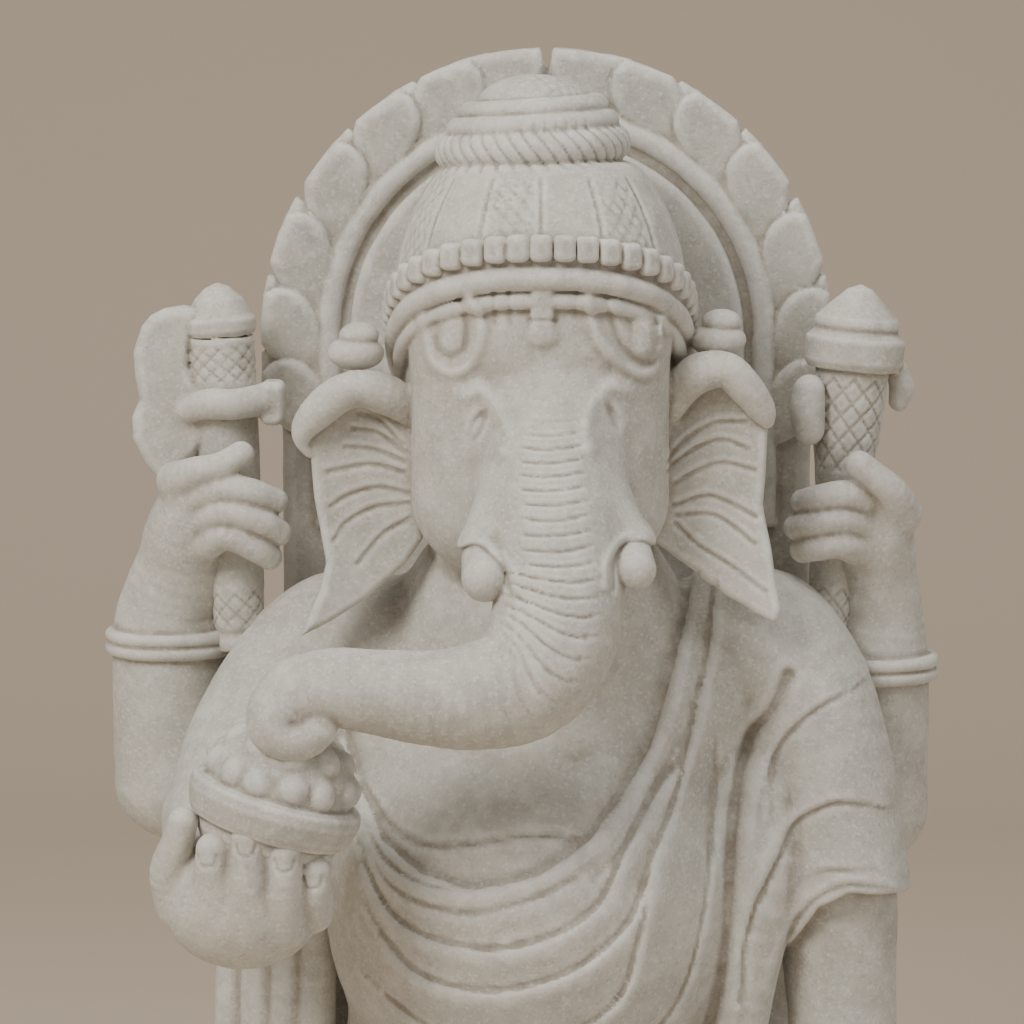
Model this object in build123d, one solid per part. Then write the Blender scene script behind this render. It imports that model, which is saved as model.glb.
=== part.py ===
from build123d import *
import math
import os

# A seated, four-armed elephant-headed idol in white marble, 3 ft tall, made of carved
# elements that are doweled and bedded on each other. Millimetres, +Z up, front towards -Y.
# The origin is the centre of the plinth's underside. "right" and "left" are the figure's own,
# so its right hands are on the -X side.

# Driving dimensions
TOTAL_HEIGHT = 914
BASE_WIDTH, BASE_DEPTH, BASE_CORNER = 560, 370, 60
PLINTH_HEIGHT = 38
DRUM_INSET, DRUM_HEIGHT = 34, 46
SEAT_INSET, SEAT_HEIGHT = 18, 20
SEAT_TOP = PLINTH_HEIGHT + DRUM_HEIGHT + SEAT_HEIGHT
FIGURE_Y = 60                      # the body's own centre line lies this far behind the base's centre
HALO_X, HALO_RADIUS = 2, 182       # to the tips of the rim petals
SLAB_FRONT, SLAB_THICKNESS = 66, 42
SLAB_RADIUS = 170
RING_RADIUS, RING_TUBE = 138, 8
PANEL_RADIUS, PANEL_THICKNESS = 121, 6
PETALS_PER_SIDE, PETAL_PITCH = 7, 14.4      # rim petals, and degrees between them
HALO_Z = TOTAL_HEIGHT - HALO_RADIUS * math.cos(math.radians(PETAL_PITCH / 2))
PETAL_LENGTH, PETAL_WIDTH, PETAL_THICKNESS = 44, 37, 20
HEAD_X, HEAD_FRONT, HEAD_BACK = -5, -50, -12     # the skull is round about these two centres
HEAD_Y = -42                       # the crown's own axis
BAND_Z = 752                       # the bead band's height at the skull's front centre
CAP_TOP = 845
BAND_RADIUS = 86
BAND_TILT = math.degrees(math.atan(0.5))    # it drops towards the nape
BAND_RUN = 70                      # how far it runs back along the temples
BEAD_PITCH, BEAD_RADIUS, BEADS_PER_SIDE = 13.6, 7, 15
LINK_SHARE = 0.985                 # a limb's bars against the balls they join
NUDGES = ((0, 0), (0.13, 0.09), (-0.17, 0.12), (0.21, -0.16), (-0.11, -0.23), (0.4, 0.31))


# Shapes

def at(x, y, z):
    """A point given from the body's centre line, in the base's frame."""
    return Vector(x, y + FIGURE_Y, z)


def ball(x, y, z, radius):
    return Pos(*at(x, y, z)) * Sphere(radius)


def link(start, end):
    """A round bar between the centres of two balls, a shade thinner than each, so it meets them cleanly."""
    a, b = at(*start[:3]), at(*end[:3])
    length = (b - a).length
    wide, narrow = start[3] * LINK_SHARE, end[3] * LINK_SHARE
    bar = Cylinder(wide, length) if abs(wide - narrow) < 0.2 else Cone(wide, narrow, length)
    return Plane(origin=a, z_dir=b - a) * Pos(0, 0, length / 2) * bar


def limb(*stations):
    """Balls at (x, y, z, radius) stations, joined by tapering bars."""
    body = ball(*stations[0])
    for start, end in zip(stations, stations[1:]):
        body += ball(*end)
        body += link(start, end)
    return body


def turned(profile, foot, lean=0):
    """A solid of revolution from (radius, height) corners, on a foot point, leaning sideways."""
    outline = Polyline(*profile, close=True)
    solid = revolve(Plane.XZ * make_face(outline), Axis.Z)
    return Pos(*at(*foot)) * Rot(0, lean, 0) * solid


def finger(start, end, radius):
    """A bar with round ends, turned about its own length."""
    foot, tip = at(*start), at(*end)
    length = (tip - foot).length
    bend = radius * math.sqrt(0.5)
    outline = (
        Line((radius, 0), (radius, length))
        + ThreePointArc((radius, length), (bend, length + bend), (0, length + radius))
        + Line((0, length + radius), (0, -radius))
        + ThreePointArc((0, -radius), (bend, -bend), (radius, 0))
    )
    bar = revolve(Plane.XZ * make_face(outline), Axis.Z)
    return Plane(origin=foot, z_dir=tip - foot) * bar


def plate(points, y_front, thickness):
    """A flat plate from (x, z) corners of its front outline."""
    outline = Polyline(*[(x, z) for x, z in points], close=True)
    back = at(0, y_front + thickness, 0)
    return extrude(Plane(origin=back, x_dir=(1, 0, 0), z_dir=(0, -1, 0)) * make_face(outline), thickness)


def rounded_block(inset, low, height):
    outline = RectangleRounded(BASE_WIDTH - 2 * inset, BASE_DEPTH - 2 * inset, BASE_CORNER - inset)
    return extrude(Pos(0, 0, low) * outline, height)


def arch(radius, low, front, thickness):
    """A round-headed slab, standing on the level low."""
    height = HALO_Z - low
    back = at(HALO_X, front + thickness, HALO_Z)
    outline = Circle(radius) + Pos(0, -height / 2) * Rectangle(2 * radius, height)
    return extrude(Plane(origin=back, x_dir=(1, 0, 0), z_dir=(0, -1, 0)) * outline, thickness)


def on_band_plane(shape, drop):
    """Puts a shape drawn about the origin on the headband's tilted plane, drop mm below its line."""
    return Pos(*at(HEAD_X, HEAD_FRONT, BAND_Z - drop)) * Rot(-BAND_TILT, 0, 0) * shape


def headband(radius, tube, drop):
    """A roll round the brow that runs straight back along each temple."""
    front = Torus(radius, tube) & Pos(0, -200, 0) * Box(600, 400, 400)
    for side in (-1, 1):
        front += Pos(side * radius, BAND_RUN / 2, 0) * Rot(90, 0, 0) * Cylinder(tube, BAND_RUN)
    return on_band_plane(front, drop)


def above_headband(shape, drop):
    """The part of a shape that lies above the headband's tilted plane."""
    return shape & on_band_plane(Pos(0, 0, 200) * Box(600, 600, 400), drop)


def above_level(shape, level):
    return shape & Pos(0, 0, level + 500) * Box(900, 900, 1000)


def leaf(width, height, thickness):
    """A pointed leaf standing on its widest line, facing -Y, with its foot on the origin."""
    half = width / 2
    shoulder = (half * 0.86, height * 0.5)
    outline = (
        Line((-half, 0), (half, 0))
        + ThreePointArc((half, 0), shoulder, (0, height))
        + ThreePointArc((0, height), (-shoulder[0], shoulder[1]), (-half, 0))
    )
    return Rot(90, 0, 0) * Pos(0, 0, -thickness / 2) * extrude(make_face(outline), thickness)


# Dowels, which the stones around them are bored for

def dowels():
    places = [(x, 50, PLINTH_HEIGHT, 6, 40) for x in (-180, 180)]
    places += [(x, -190, PLINTH_HEIGHT, 6, 40) for x in (-180, 180)]
    places += [(x, -10, SEAT_TOP, 6, 60) for x in (-70, 70)]
    places += [(x, SLAB_FRONT + SLAB_THICKNESS / 2, SEAT_TOP, 8, 50) for x in (-110, 110)]
    return [Pos(*at(x, y, z)) * Cylinder(radius, length) for x, y, z, radius, length in places]


# Base

def lotus_petals():
    """A ring of upright petals standing against the drum."""
    inset = DRUM_INSET
    path = RectangleRounded(BASE_WIDTH - 2 * inset, BASE_DEPTH - 2 * inset, BASE_CORNER - inset).wire()
    count = 40
    petals = []
    for i in range(count):
        place = path.location_at((i + 0.5) / count)
        along = place.x_axis.direction
        petals.append(Pos(place.position.X, place.position.Y, PLINTH_HEIGHT)
                      * Rot(0, 0, math.degrees(math.atan2(along.Y, along.X)))
                      * leaf(36, DRUM_HEIGHT - 1, 17))
    return petals


# Back slab

def rim_petals(tips):
    """Leaves round the slab's rim: the full ones, or the small tips that show between them."""
    width, length, thickness = (14, 30, 10) if tips else (PETAL_WIDTH, PETAL_LENGTH, PETAL_THICKNESS)
    reach = HALO_RADIUS - length - (4 if tips else 0)
    centre = at(HALO_X, SLAB_FRONT + (6 if tips else 2), HALO_Z)
    petals = []
    for side in (-1, 1):
        for i in range(PETALS_PER_SIDE):
            angle = side * PETAL_PITCH * (i + (1 if tips else 0.5))
            place = centre + Vector(0, 0, reach).rotate(Axis.Y, angle)
            petals.append(Pos(*place) * Rot(0, angle, 0) * leaf(width, length, thickness))
    return petals


def halo_ring():
    arc = Torus(RING_RADIUS, RING_TUBE)
    upper = Pos(*at(HALO_X, SLAB_FRONT, HALO_Z)) * Rot(90, 0, 0) * arc
    upper = above_level(upper, HALO_Z)
    legs = [Pos(*at(HALO_X + side * RING_RADIUS, SLAB_FRONT, HALO_Z - 60)) * Cylinder(RING_TUBE, 120)
            for side in (-1, 1)]
    return [upper, *legs]


# Body

def belly(spare=0):
    return ball(-8, -26, 392, 126 + spare)


def chest(spare=0):
    return limb((-68, -6, 503, 80 + spare), (72, -6, 503, 80 + spare))


def torso():
    body = belly() + chest()
    body += limb((-48, 0, 214, 104), (48, 0, 214, 104))
    body += ball(-2, -16, 578, 66)
    return above_level(body, SEAT_TOP)


def right_leg():
    leg = limb((-40, 10, 168, 60), (-120, -40, 162, 60), (-190, -95, 152, 50), (-236, -128, 144, 30))
    leg += limb((-226, -116, 136, 40), (-130, -171, 132, 37), (-20, -186, 128, 31), (40, -188, 124, 26))
    return above_level(leg, SEAT_TOP)


def left_leg():
    leg = limb((40, 10, 168, 60), (120, -40, 162, 60), (190, -95, 152, 50), (236, -128, 144, 30))
    leg += limb((226, -116, 136, 40), (150, -167, 132, 36), (60, -172, 128, 30))
    return above_level(leg, SEAT_TOP)


def foot(side, x, y):
    """A foot lying on its outer edge on the seat, its toes in a row."""
    sole = limb((x - side * 30, y, SEAT_TOP + 15, 17), (x + side * 20, y, SEAT_TOP + 14, 16))
    toes = []
    for lift, radius in ((4.6, 3.4), (11.8, 3.4), (19, 3.4), (26.4, 3.6), (35.4, 4.9)):
        z = SEAT_TOP + lift
        toes.append(finger((x + side * 20, y - 4, z), (x + side * 40, y - 5, z), radius))
    return [above_level(sole, SEAT_TOP), *toes]


def shawl():
    """A cloth shell over the left shoulder and across the belly."""
    outline = [(60, 610), (92, 520), (60, 470), (10, 440), (-50, 440), (-100, 475), (-150, 475),
               (-150, 300), (150, 300), (175, 420), (190, 610)]
    return (belly(7) + chest(7)) & plate(outline, -200, 260)


def shawl_sleeve():
    """The shawl's end over the left upper arm."""
    return limb((120, -8, 540, 52), (158, -14, 528, 53), (176, -24, 480, 50), (188, -30, 428, 47),
                (193, -32, 398, 44))


def shawl_fall():
    """Pleats of cloth that hang from the right elbow to the seat."""
    pleats = Pos(*at(-196, 20, 262)) * Cylinder(14, 316)
    for x, y, radius in ((-176, 6, 15), (-154, -8, 14)):
        pleats += Pos(*at(x, y, 262)) * Cylinder(radius, 316)
    return above_level(pleats, SEAT_TOP)


# Head

def head():
    skull = limb((HEAD_X, HEAD_FRONT, 712, 80), (HEAD_X, HEAD_BACK, 712, 76))
    return skull + limb((-3, -54, 664, 75), (-3, -54, 648, 72))


def trunk():
    """From the brow down, across the chest to the right hand's sweets, its tip curled back."""
    root = limb((0, -96, 700, 42), (4, -128, 655, 44), (9, -160, 612, 39), (5, -182, 578, 36))
    reach = limb((5, -182, 578, 36), (-18, -197, 553, 32), (-55, -202, 545, 28), (-95, -205, 549, 24),
                 (-146, -209, 550, 21))
    return root + reach + finger((-152, -213, 538), (-136, -219, 531), 13)


def tusk_sheath(side):
    x = 4 + side * 46
    return limb((x - side * 14, -104, 694, 15), (x - side * 6, -128, 664, 17), (x, -142, 640, 16),
                (x, -150, 630, 14))


def tusk(side):
    x = 7 + side * 43
    return finger((x, -140, 632), (x, -184, 614), 13 if side < 0 else 12)


def right_ear():
    sail = plate([(-76, 706), (-118, 716), (-146, 690), (-140, 640), (-134, 606), (-138, 588), (-152, 571),
                  (-118, 584), (-88, 604), (-72, 624)], -62, 12)
    return sail + limb((-84, -50, 696, 9), (-98, -56, 714, 10), (-120, -58, 716, 10), (-150, -54, 688, 11))


def left_ear():
    sail = plate([(66, 706), (100, 722), (134, 696), (134, 660), (132, 640), (136, 608), (142, 577),
                  (112, 588), (88, 604), (62, 628)], -62, 12)
    return sail + limb((74, -50, 700, 9), (88, -56, 720, 10), (106, -58, 724, 10), (138, -54, 694, 11))


def ear_knob(x, z):
    return ball(x, -46, z, 15) + ball(x + 1, -46, z + 8, 11)


def forehead_mark():
    return limb((-2, -120, 772, 6.5), (-2, -128, 752, 6.5)) + ball(-2, -124, 748, 12)


# Crown

def crown_cap():
    cap = limb((HEAD_X + 2, HEAD_FRONT, 768, 93), (HEAD_X + 2, HEAD_BACK, 768, 93))
    return above_headband(cap, 0) & Pos(0, 0, CAP_TOP - 500) * Box(900, 900, 1000)


def bead_band():
    """Beads round the brow and back along the temples."""
    beads = []
    quarter = BAND_RADIUS * math.pi / 2
    for side in (-1, 1):
        for i in range(BEADS_PER_SIDE):
            along = (i + 0.5) * BEAD_PITCH
            if along < quarter:
                turn = along / BAND_RADIUS
                x, y = BAND_RADIUS * math.sin(turn), -BAND_RADIUS * math.cos(turn)
            else:
                x, y = BAND_RADIUS, along - quarter
            beads.append(on_band_plane(Pos(side * x, y, 0) * Rot(63, 0, 17) * Sphere(BEAD_RADIUS), 0.3))
    return beads


def crown_roll(z, radius, tube):
    return Pos(*at(HEAD_X - 3, HEAD_Y, z)) * Torus(radius, tube)


def crown_finial():
    stem = Pos(*at(HEAD_X - 3, HEAD_Y, (CAP_TOP + 874) / 2)) * Cylinder(38, 874 - CAP_TOP)
    return above_level(ball(HEAD_X - 3, HEAD_Y, 852, 47), 862) + stem


# Arms, hands and what they hold

def rear_arm(side, elbow_z, x_elbow, wrist_x):
    upper = limb((side * 120, 22, 505, 34), (side * 180, 36, 470, 34), (x_elbow, 40, elbow_z + 6, 34))
    fore = limb((x_elbow, 40, elbow_z, 34), (x_elbow - side * 2, 40, 490, 36),
                (x_elbow - side * 4, 37, 545, 35), (wrist_x, 28, 590, 27), (wrist_x + side * 2, 18, 614, 24))
    return upper + fore + ball(x_elbow, 40, elbow_z + 4, 37)


def bangle(x, z, radius):
    return [Pos(*at(x, 39, z + dz)) * Torus(radius, 4.2) for dz in (-4.4, 4.4)]


def rear_right_hand():
    hand = [limb((-224, 12, 612, 23), (-219, 12, 638, 20))]
    for z, tip in ((635, -176), (619, -172), (602, -178)):
        hand.append(finger((-218, -8, z), (tip, -6, z - 4), 8.5))
    return hand + [finger((-222, -6, 648), (-194, -10, 660), 8.5)]


def rear_left_hand():
    hand = [limb((212, 12, 604, 23), (208, 12, 632, 20))]
    for z, tip in ((628, 164), (612, 160), (596, 166)):
        hand.append(finger((206, -8, z), (tip, -6, z + 2), 8.5))
    return hand + [finger((216, -4, 642), (196, -10, 658), 9)]


def axe_shaft():
    return turned([(0, 0), (15, 0), (13, 10), (16, 14), (17, 60), (20, 110), (22, 196), (0, 196)],
                  (-190, 24, 540), -3.4)


def axe_head():
    blade = plate([(-224, 753), (-240, 750), (-253, 734), (-257, 710), (-256, 690), (-257, 678), (-250, 660),
                   (-238, 644), (-230, 640), (-226, 656), (-220, 674), (-206, 688), (-206, 706),
                   (-218, 718), (-224, 734)], 14, 14)
    return blade + turned([(0, -12), (27, -12), (27, 12), (0, 12)], (-199, 22, 694), -3.4)


def axe_cap():
    return turned([(0, 0), (19, 0), (22, 3), (22, 11), (19, 13), (17, 18), (10, 28), (0, 32)],
                  (-201.5, 24, 736.5), -3.4)


def mace_handle():
    return turned([(0, 0), (8, 0), (14, 12), (14, 70), (17, 110), (22, 140), (23, 178), (0, 178)],
                  (177, 24, 541), 5)


def mace_cap():
    return turned([(0, 0), (28, 0), (31, 4), (31, 20), (27, 24), (26, 26), (26, 29), (4, 49), (0, 50)],
                  (192.6, 24, 718.5), 5)


def mace_lobes():
    return [finger((164, 8, 678), (162, 8, 706), 10), finger((220, 34, 698), (222, 34, 714), 8)]


def front_right_arm():
    upper = limb((-110, -8, 535, 44), (-146, -14, 520, 46), (-178, -36, 478, 42), (-194, -62, 440, 36))
    fore = limb((-194, -58, 430, 34), (-190, -110, 428, 33), (-182, -162, 426, 28))
    return upper + fore


def front_right_hand():
    hand = [ball(-175, -187, 424, 40)]
    for x, y, low, top in ((-193, -212, 412, 452), (-171, -216, 410, 457), (-149.5, -217, 410, 450),
                           (-129, -208, 414, 438)):
        hand.append(finger((x, y, low), (x + 1, y - 7, top), 10.2))
    return hand + [finger((-217, -188, 426), (-210, -195, 461), 9.2)]


def sweet_bowl():
    return turned([(0, -44), (22, -40), (36, -26), (42, -12), (47, -8), (48, 6), (44, 11), (0, 11)],
                  (-158, -184, 480), 16.7)


def sweets():
    """A heap of round sweets over a stepped filling."""
    heap = [turned([(0, 11), (41, 11), (38, 24), (24, 38), (0, 42)], (-158, -184, 480), 16.7)]
    for i in range(8):
        angle = math.tau * (i + 0.3) / 8
        x, y = 30 * math.cos(angle), 30 * math.sin(angle)
        heap.append(ball(x - 155, y - 186, 508 - x * 8 / 30, 11))
    return heap


def front_left_arm():
    upper = limb((110, -8, 535, 44), (150, -12, 520, 46), (172, -24, 470, 42), (182, -32, 400, 38),
                 (186, -38, 330, 34), (188, -44, 286, 33))
    fore = limb((188, -46, 276, 32), (182, -90, 258, 29), (172, -132, 242, 22))
    return upper + fore


def front_left_hand():
    """The palm lies on the left knee, the fingers over its front."""
    hand = [limb((166, -140, 232, 19), (168, -172, 222, 18))]
    for i, x in enumerate((146, 161, 176, 191)):
        hand.append(finger((x, -174, 220), (x - 3, -196 + 3 * i, 206), 8))
    return hand + [finger((148, -142, 228), (134, -160, 216), 8)]


# Every element, in the order in which they are cut: each is cut back by those before it,
# so that neighbours bed against each other face to face.
ELEMENTS = {
    "dowels": dowels,
    "plinth": lambda: rounded_block(0, 0, PLINTH_HEIGHT),
    "lotus_drum": lambda: rounded_block(DRUM_INSET, PLINTH_HEIGHT, DRUM_HEIGHT),
    "seat_slab": lambda: rounded_block(SEAT_INSET, PLINTH_HEIGHT + DRUM_HEIGHT, SEAT_HEIGHT),
    "lotus_petals": lotus_petals,
    "back_slab": lambda: arch(SLAB_RADIUS, SEAT_TOP, SLAB_FRONT, SLAB_THICKNESS),
    "halo_panel": lambda: arch(PANEL_RADIUS, SEAT_TOP + 400, SLAB_FRONT - PANEL_THICKNESS, PANEL_THICKNESS),
    "halo_ring": halo_ring,
    "rim_petals": lambda: rim_petals(False),
    "rim_tips": lambda: rim_petals(True),
    "head": head,
    "crown_rope_roll": lambda: crown_roll(855, 48, 11),
    "crown_upper_roll": lambda: crown_roll(876, 41, 9.6),
    "crown_finial": crown_finial,
    "crown_cap": crown_cap,
    "brow_roll": lambda: headband(81, 6.5, 14),
    "brow_fillet": lambda: headband(80, 4.5, 25),
    "bead_band": bead_band,
    "forehead_mark": forehead_mark,
    "right_temple_boss": lambda: ball(-54, -98, 747, 18),
    "left_temple_boss": lambda: ball(50, -97, 745, 19),
    "right_eye": lambda: finger((-41, -118, 701), (-35, -121, 690), 6.5),
    "left_eye": lambda: finger((33, -118, 704), (27, -122, 692), 6.5),
    "trunk": trunk,
    "right_tusk": lambda: tusk(-1),
    "left_tusk": lambda: tusk(1),
    "right_tusk_sheath": lambda: tusk_sheath(-1),
    "left_tusk_sheath": lambda: tusk_sheath(1),
    "torso": torso,
    "right_ear": right_ear,
    "left_ear": left_ear,
    "right_ear_knob": lambda: ear_knob(-114, 734),
    "left_ear_knob": lambda: ear_knob(105, 741),
    "axe_shaft": axe_shaft,
    "axe_cap": axe_cap,
    "axe_head": axe_head,
    "mace_handle": mace_handle,
    "mace_cap": mace_cap,
    "mace_lobes": mace_lobes,
    "rear_right_bangle": lambda: bangle(-233, 542, 36),
    "rear_left_bangle": lambda: bangle(209, 527, 35),
    "rear_right_arm": lambda: rear_arm(-1, 450, -234, -228),
    "rear_left_arm": lambda: rear_arm(1, 434, 208, 206),
    "rear_right_hand": rear_right_hand,
    "rear_left_hand": rear_left_hand,
    "sweet_bowl": sweet_bowl,
    "sweets": sweets,
    "front_right_arm": front_right_arm,
    "front_left_arm": front_left_arm,
    "shawl_sleeve": shawl_sleeve,
    "front_right_hand": front_right_hand,
    "shawl": shawl,
    "right_leg": right_leg,
    "left_leg": left_leg,
    "right_foot": lambda: foot(1, 78, -208),
    "left_foot": lambda: foot(-1, -150, -209),
    "front_left_hand": front_left_hand,
    "shawl_fall": shawl_fall,
}


def solids_of(shape):
    if isinstance(shape, (list, tuple)):
        return [solid for item in shape for solid in solids_of(item)]
    return list(shape.solids())


def box_of(solid):
    box = solid.bounding_box()
    return (*box.min, *box.max)


def boxes_meet(p, q):
    return all(p[i] < q[i + 3] and q[i] < p[i + 3] for i in range(3))


def is_sound(solid):
    """Whether the solid's mesh encloses the volume that its faces say."""
    try:
        points, triangles = solid.tessellate(0.2, 0.3)
    except AttributeError:                       # a face that doesn't mesh
        return False
    enclosed = sum(points[a].dot(points[b].cross(points[c])) for a, b, c in triangles) / 6
    return solid.is_valid and abs(enclosed - solid.volume) < 0.04 * solid.volume


def cut_back(solid, placed):
    """What is left of a solid beside the (solid, box) pairs already placed: its largest piece, or 0.
    None where a cut between near-tangent rounds comes out wrong."""
    box = box_of(solid)
    for other, other_box in placed:
        if not boxes_meet(box, other_box):
            continue
        pieces = solids_of(solid - other)
        if not pieces:
            shared = solid & other
            swallowed = shared and sum(piece.volume for piece in solids_of(shared)) > 0.95 * solid.volume
            return 0 if swallowed else None
        solid = max(pieces, key=lambda piece: piece.volume)
        box = box_of(solid)
    return solid if is_sound(solid) else None


def bedded(solid, placed):
    """A solid cut back by those already placed, moved a hair sideways if it won't cut cleanly in place."""
    for nudge in NUDGES:
        left = cut_back(Pos(*nudge, 0) * solid, placed)
        if left is not None:
            return left
    raise ValueError(f"no clean cut for a solid of {solid.volume:.0f} mm3")


def build():
    os.makedirs("parts", exist_ok=True)
    placed = []
    for name, make in ELEMENTS.items():
        made = []
        for solid in solids_of(make()):
            solid = bedded(solid, placed)
            if solid:
                made.append(solid)
                placed.append((solid, box_of(solid)))
        if not made:
            raise ValueError(f"{name} is cut away by what was placed before it")
        export_step(Compound(children=made), f"parts/{name}.step")


build()
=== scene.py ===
import bpy
import math
import numpy as np
import openvdb
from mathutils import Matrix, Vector
from concurrent.futures import ThreadPoolExecutor


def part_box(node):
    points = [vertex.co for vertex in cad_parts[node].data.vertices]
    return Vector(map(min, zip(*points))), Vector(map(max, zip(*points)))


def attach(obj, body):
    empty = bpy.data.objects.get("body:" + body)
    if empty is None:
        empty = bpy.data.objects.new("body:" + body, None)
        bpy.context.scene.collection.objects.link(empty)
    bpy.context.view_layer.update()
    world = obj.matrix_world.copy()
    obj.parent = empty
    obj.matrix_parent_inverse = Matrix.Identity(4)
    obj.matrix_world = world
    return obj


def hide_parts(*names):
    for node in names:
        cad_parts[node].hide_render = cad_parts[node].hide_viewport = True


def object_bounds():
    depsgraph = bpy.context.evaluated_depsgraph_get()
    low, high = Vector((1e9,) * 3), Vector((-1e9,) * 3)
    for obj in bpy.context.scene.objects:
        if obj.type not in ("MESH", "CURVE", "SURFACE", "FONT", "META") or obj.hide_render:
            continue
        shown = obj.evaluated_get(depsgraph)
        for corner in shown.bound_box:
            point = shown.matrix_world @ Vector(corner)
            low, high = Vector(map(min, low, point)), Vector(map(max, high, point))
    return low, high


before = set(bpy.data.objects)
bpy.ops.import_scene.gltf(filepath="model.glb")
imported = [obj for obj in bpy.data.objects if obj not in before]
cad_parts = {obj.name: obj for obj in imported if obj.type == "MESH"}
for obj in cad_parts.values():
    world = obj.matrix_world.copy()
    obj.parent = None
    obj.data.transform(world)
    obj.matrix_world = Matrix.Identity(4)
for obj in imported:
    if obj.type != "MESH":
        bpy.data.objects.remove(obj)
cad_box = [list(corner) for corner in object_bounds()]

# The idol is sculpted from distance fields: balls, tapering rods, plates and rolls that melt into each
# other, with creases, folds and wrinkles pressed into them. Each CAD node gets its own closed mesh.
# Everything is in millimetres from the body's own origin, which is taken from the CAD nodes' boxes:
# the plinth's middle and underside, and the front of the back slab, 66 mm behind the body's centre line.
plinth_low, plinth_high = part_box("plinth")
slab_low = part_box("back_slab")[0]
SLAB_FRONT = 66.0
ORIGIN = np.array([(plinth_low[0] + plinth_high[0]) / 2, slab_low[1] - SLAB_FRONT / 1000, plinth_low[2]])


def spot(node, fx=0.5, fy=0.5, fz=0.5):
    """A point in a CAD node's box, in millimetres in the body's frame."""
    low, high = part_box(node)
    return [(low[i] + (high[i] - low[i]) * f - ORIGIN[i]) * 1000 for i, f in enumerate((fx, fy, fz))]


F = np.float32
COARSER = 1.0
BLOCK = 8  # voxels along the side of a block that is sampled or skipped as one
FAR = 60  # the distance given where nothing is near
SHAPE_REACH, PIECE_REACH = 14, 22  # how far outside its box a shape, or a piece, still counts
SEAM_DEPTH, SEAM_SLOPE = 4, 0.12  # how far neighbours pass under each other, and how fast they dip there
WAVES = ((0.35, 17), (0.16, 6))  # height and pitch of the hand-worked unevenness
SMALLEST_CRUMB = 60  # vertices


# Distance fields. A shape is (function of points, lowest corner, highest corner).

def turning(turn):
    """The matrix of a turn about X, then Y, then Z, in degrees."""
    a, b, c = (math.radians(t) for t in turn)
    rx = np.array([[1, 0, 0], [0, math.cos(a), -math.sin(a)], [0, math.sin(a), math.cos(a)]])
    ry = np.array([[math.cos(b), 0, math.sin(b)], [0, 1, 0], [-math.sin(b), 0, math.cos(b)]])
    rz = np.array([[math.cos(c), -math.sin(c), 0], [math.sin(c), math.cos(c), 0], [0, 0, 1]])
    return (rz @ ry @ rx).astype(F)


def size_of(v):
    return np.sqrt(np.einsum("ij,ij->i", v, v))


def ell(centre, radii, turn=(0, 0, 0)):
    c, r, m = np.array(centre, F), np.array(radii, F), turning(turn)
    reach = np.sqrt(((m * r) ** 2).sum(1))

    def distance(p):
        q = (p - c) @ m
        u = size_of(q / r) + 1e-5
        v = size_of(q / (r * r)) + 1e-5 / r.max()
        return u * (u - 1) / v

    return distance, c - reach, c + reach


def rod(*stations):
    s = np.array(stations, F)

    def distance(p):
        best = None
        for a, b in zip(s, s[1:]):
            along = b[:3] - a[:3]
            t = np.clip((p - a[:3]) @ (along / (along @ along)), 0, 1)
            d = size_of(p - a[:3] - t[:, None] * along) - (a[3] + (b[3] - a[3]) * t)
            best = d if best is None else np.minimum(best, d)
        return best

    return distance, (s[:, :3] - s[:, 3:]).min(0), (s[:, :3] + s[:, 3:]).max(0)


def smooth_path(points, steps=5):
    """More points on a smooth curve through the given ones, whatever they hold."""
    p = np.array(points, float)
    q = np.vstack([2 * p[0] - p[1], p, 2 * p[-1] - p[-2]])
    out = []
    for i in range(1, len(q) - 2):
        for t in np.arange(steps) / steps:
            out.append(0.5 * (2 * q[i] + (q[i + 1] - q[i - 1]) * t
                              + (2 * q[i - 1] - 5 * q[i] + 4 * q[i + 1] - q[i + 2]) * t ** 2
                              + (3 * q[i] - q[i - 1] - 3 * q[i + 1] + q[i + 2]) * t ** 3))
    return np.array(out + [p[-1]])


def limb(*stations, steps=4):
    return rod(*smooth_path(stations, steps))


def oval(x, y, a, b, n):
    """Rough distance from an oval of half sizes a and b, squarer for a larger n."""
    u, v = np.abs(x) / F(a) + F(1e-5), np.abs(y) / F(b) + F(1e-5)
    k = (u ** n + v ** n) ** F(1 / n)
    g = k ** F(1 - n) * np.sqrt((u ** (n - 1) / F(a)) ** 2 + (v ** (n - 1) / F(b)) ** 2)
    return (k - 1) / g


def roll(centre, major, tube, turn=(0, 0, 0), n=2.0):
    """A round roll along an oval whose half sizes are major = (x, y)."""
    c, m = np.array(centre, F), turning(turn)
    a, b = major
    reach = np.sqrt(((m * np.array([a + tube, b + tube, tube], F)) ** 2).sum(1))

    def distance(p):
        q = (p - c) @ m
        return np.sqrt(oval(q[:, 0], q[:, 1], a, b, n) ** 2 + q[:, 2] ** 2) - tube

    return distance, c - reach, c + reach


def disc(centre, half, thick, turn, n):
    """An oval disc of half sizes half = (x, y), 2 x thick deep."""
    c, m = np.array(centre, F), turning(turn)
    reach = np.full(3, max(half), F)

    def distance(p):
        q = (p - c) @ m
        return slab_of(oval(q[:, 0], q[:, 1], *half, n), np.abs(q[:, 2]) - thick, 2)

    return distance, c - reach, c + reach


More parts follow.
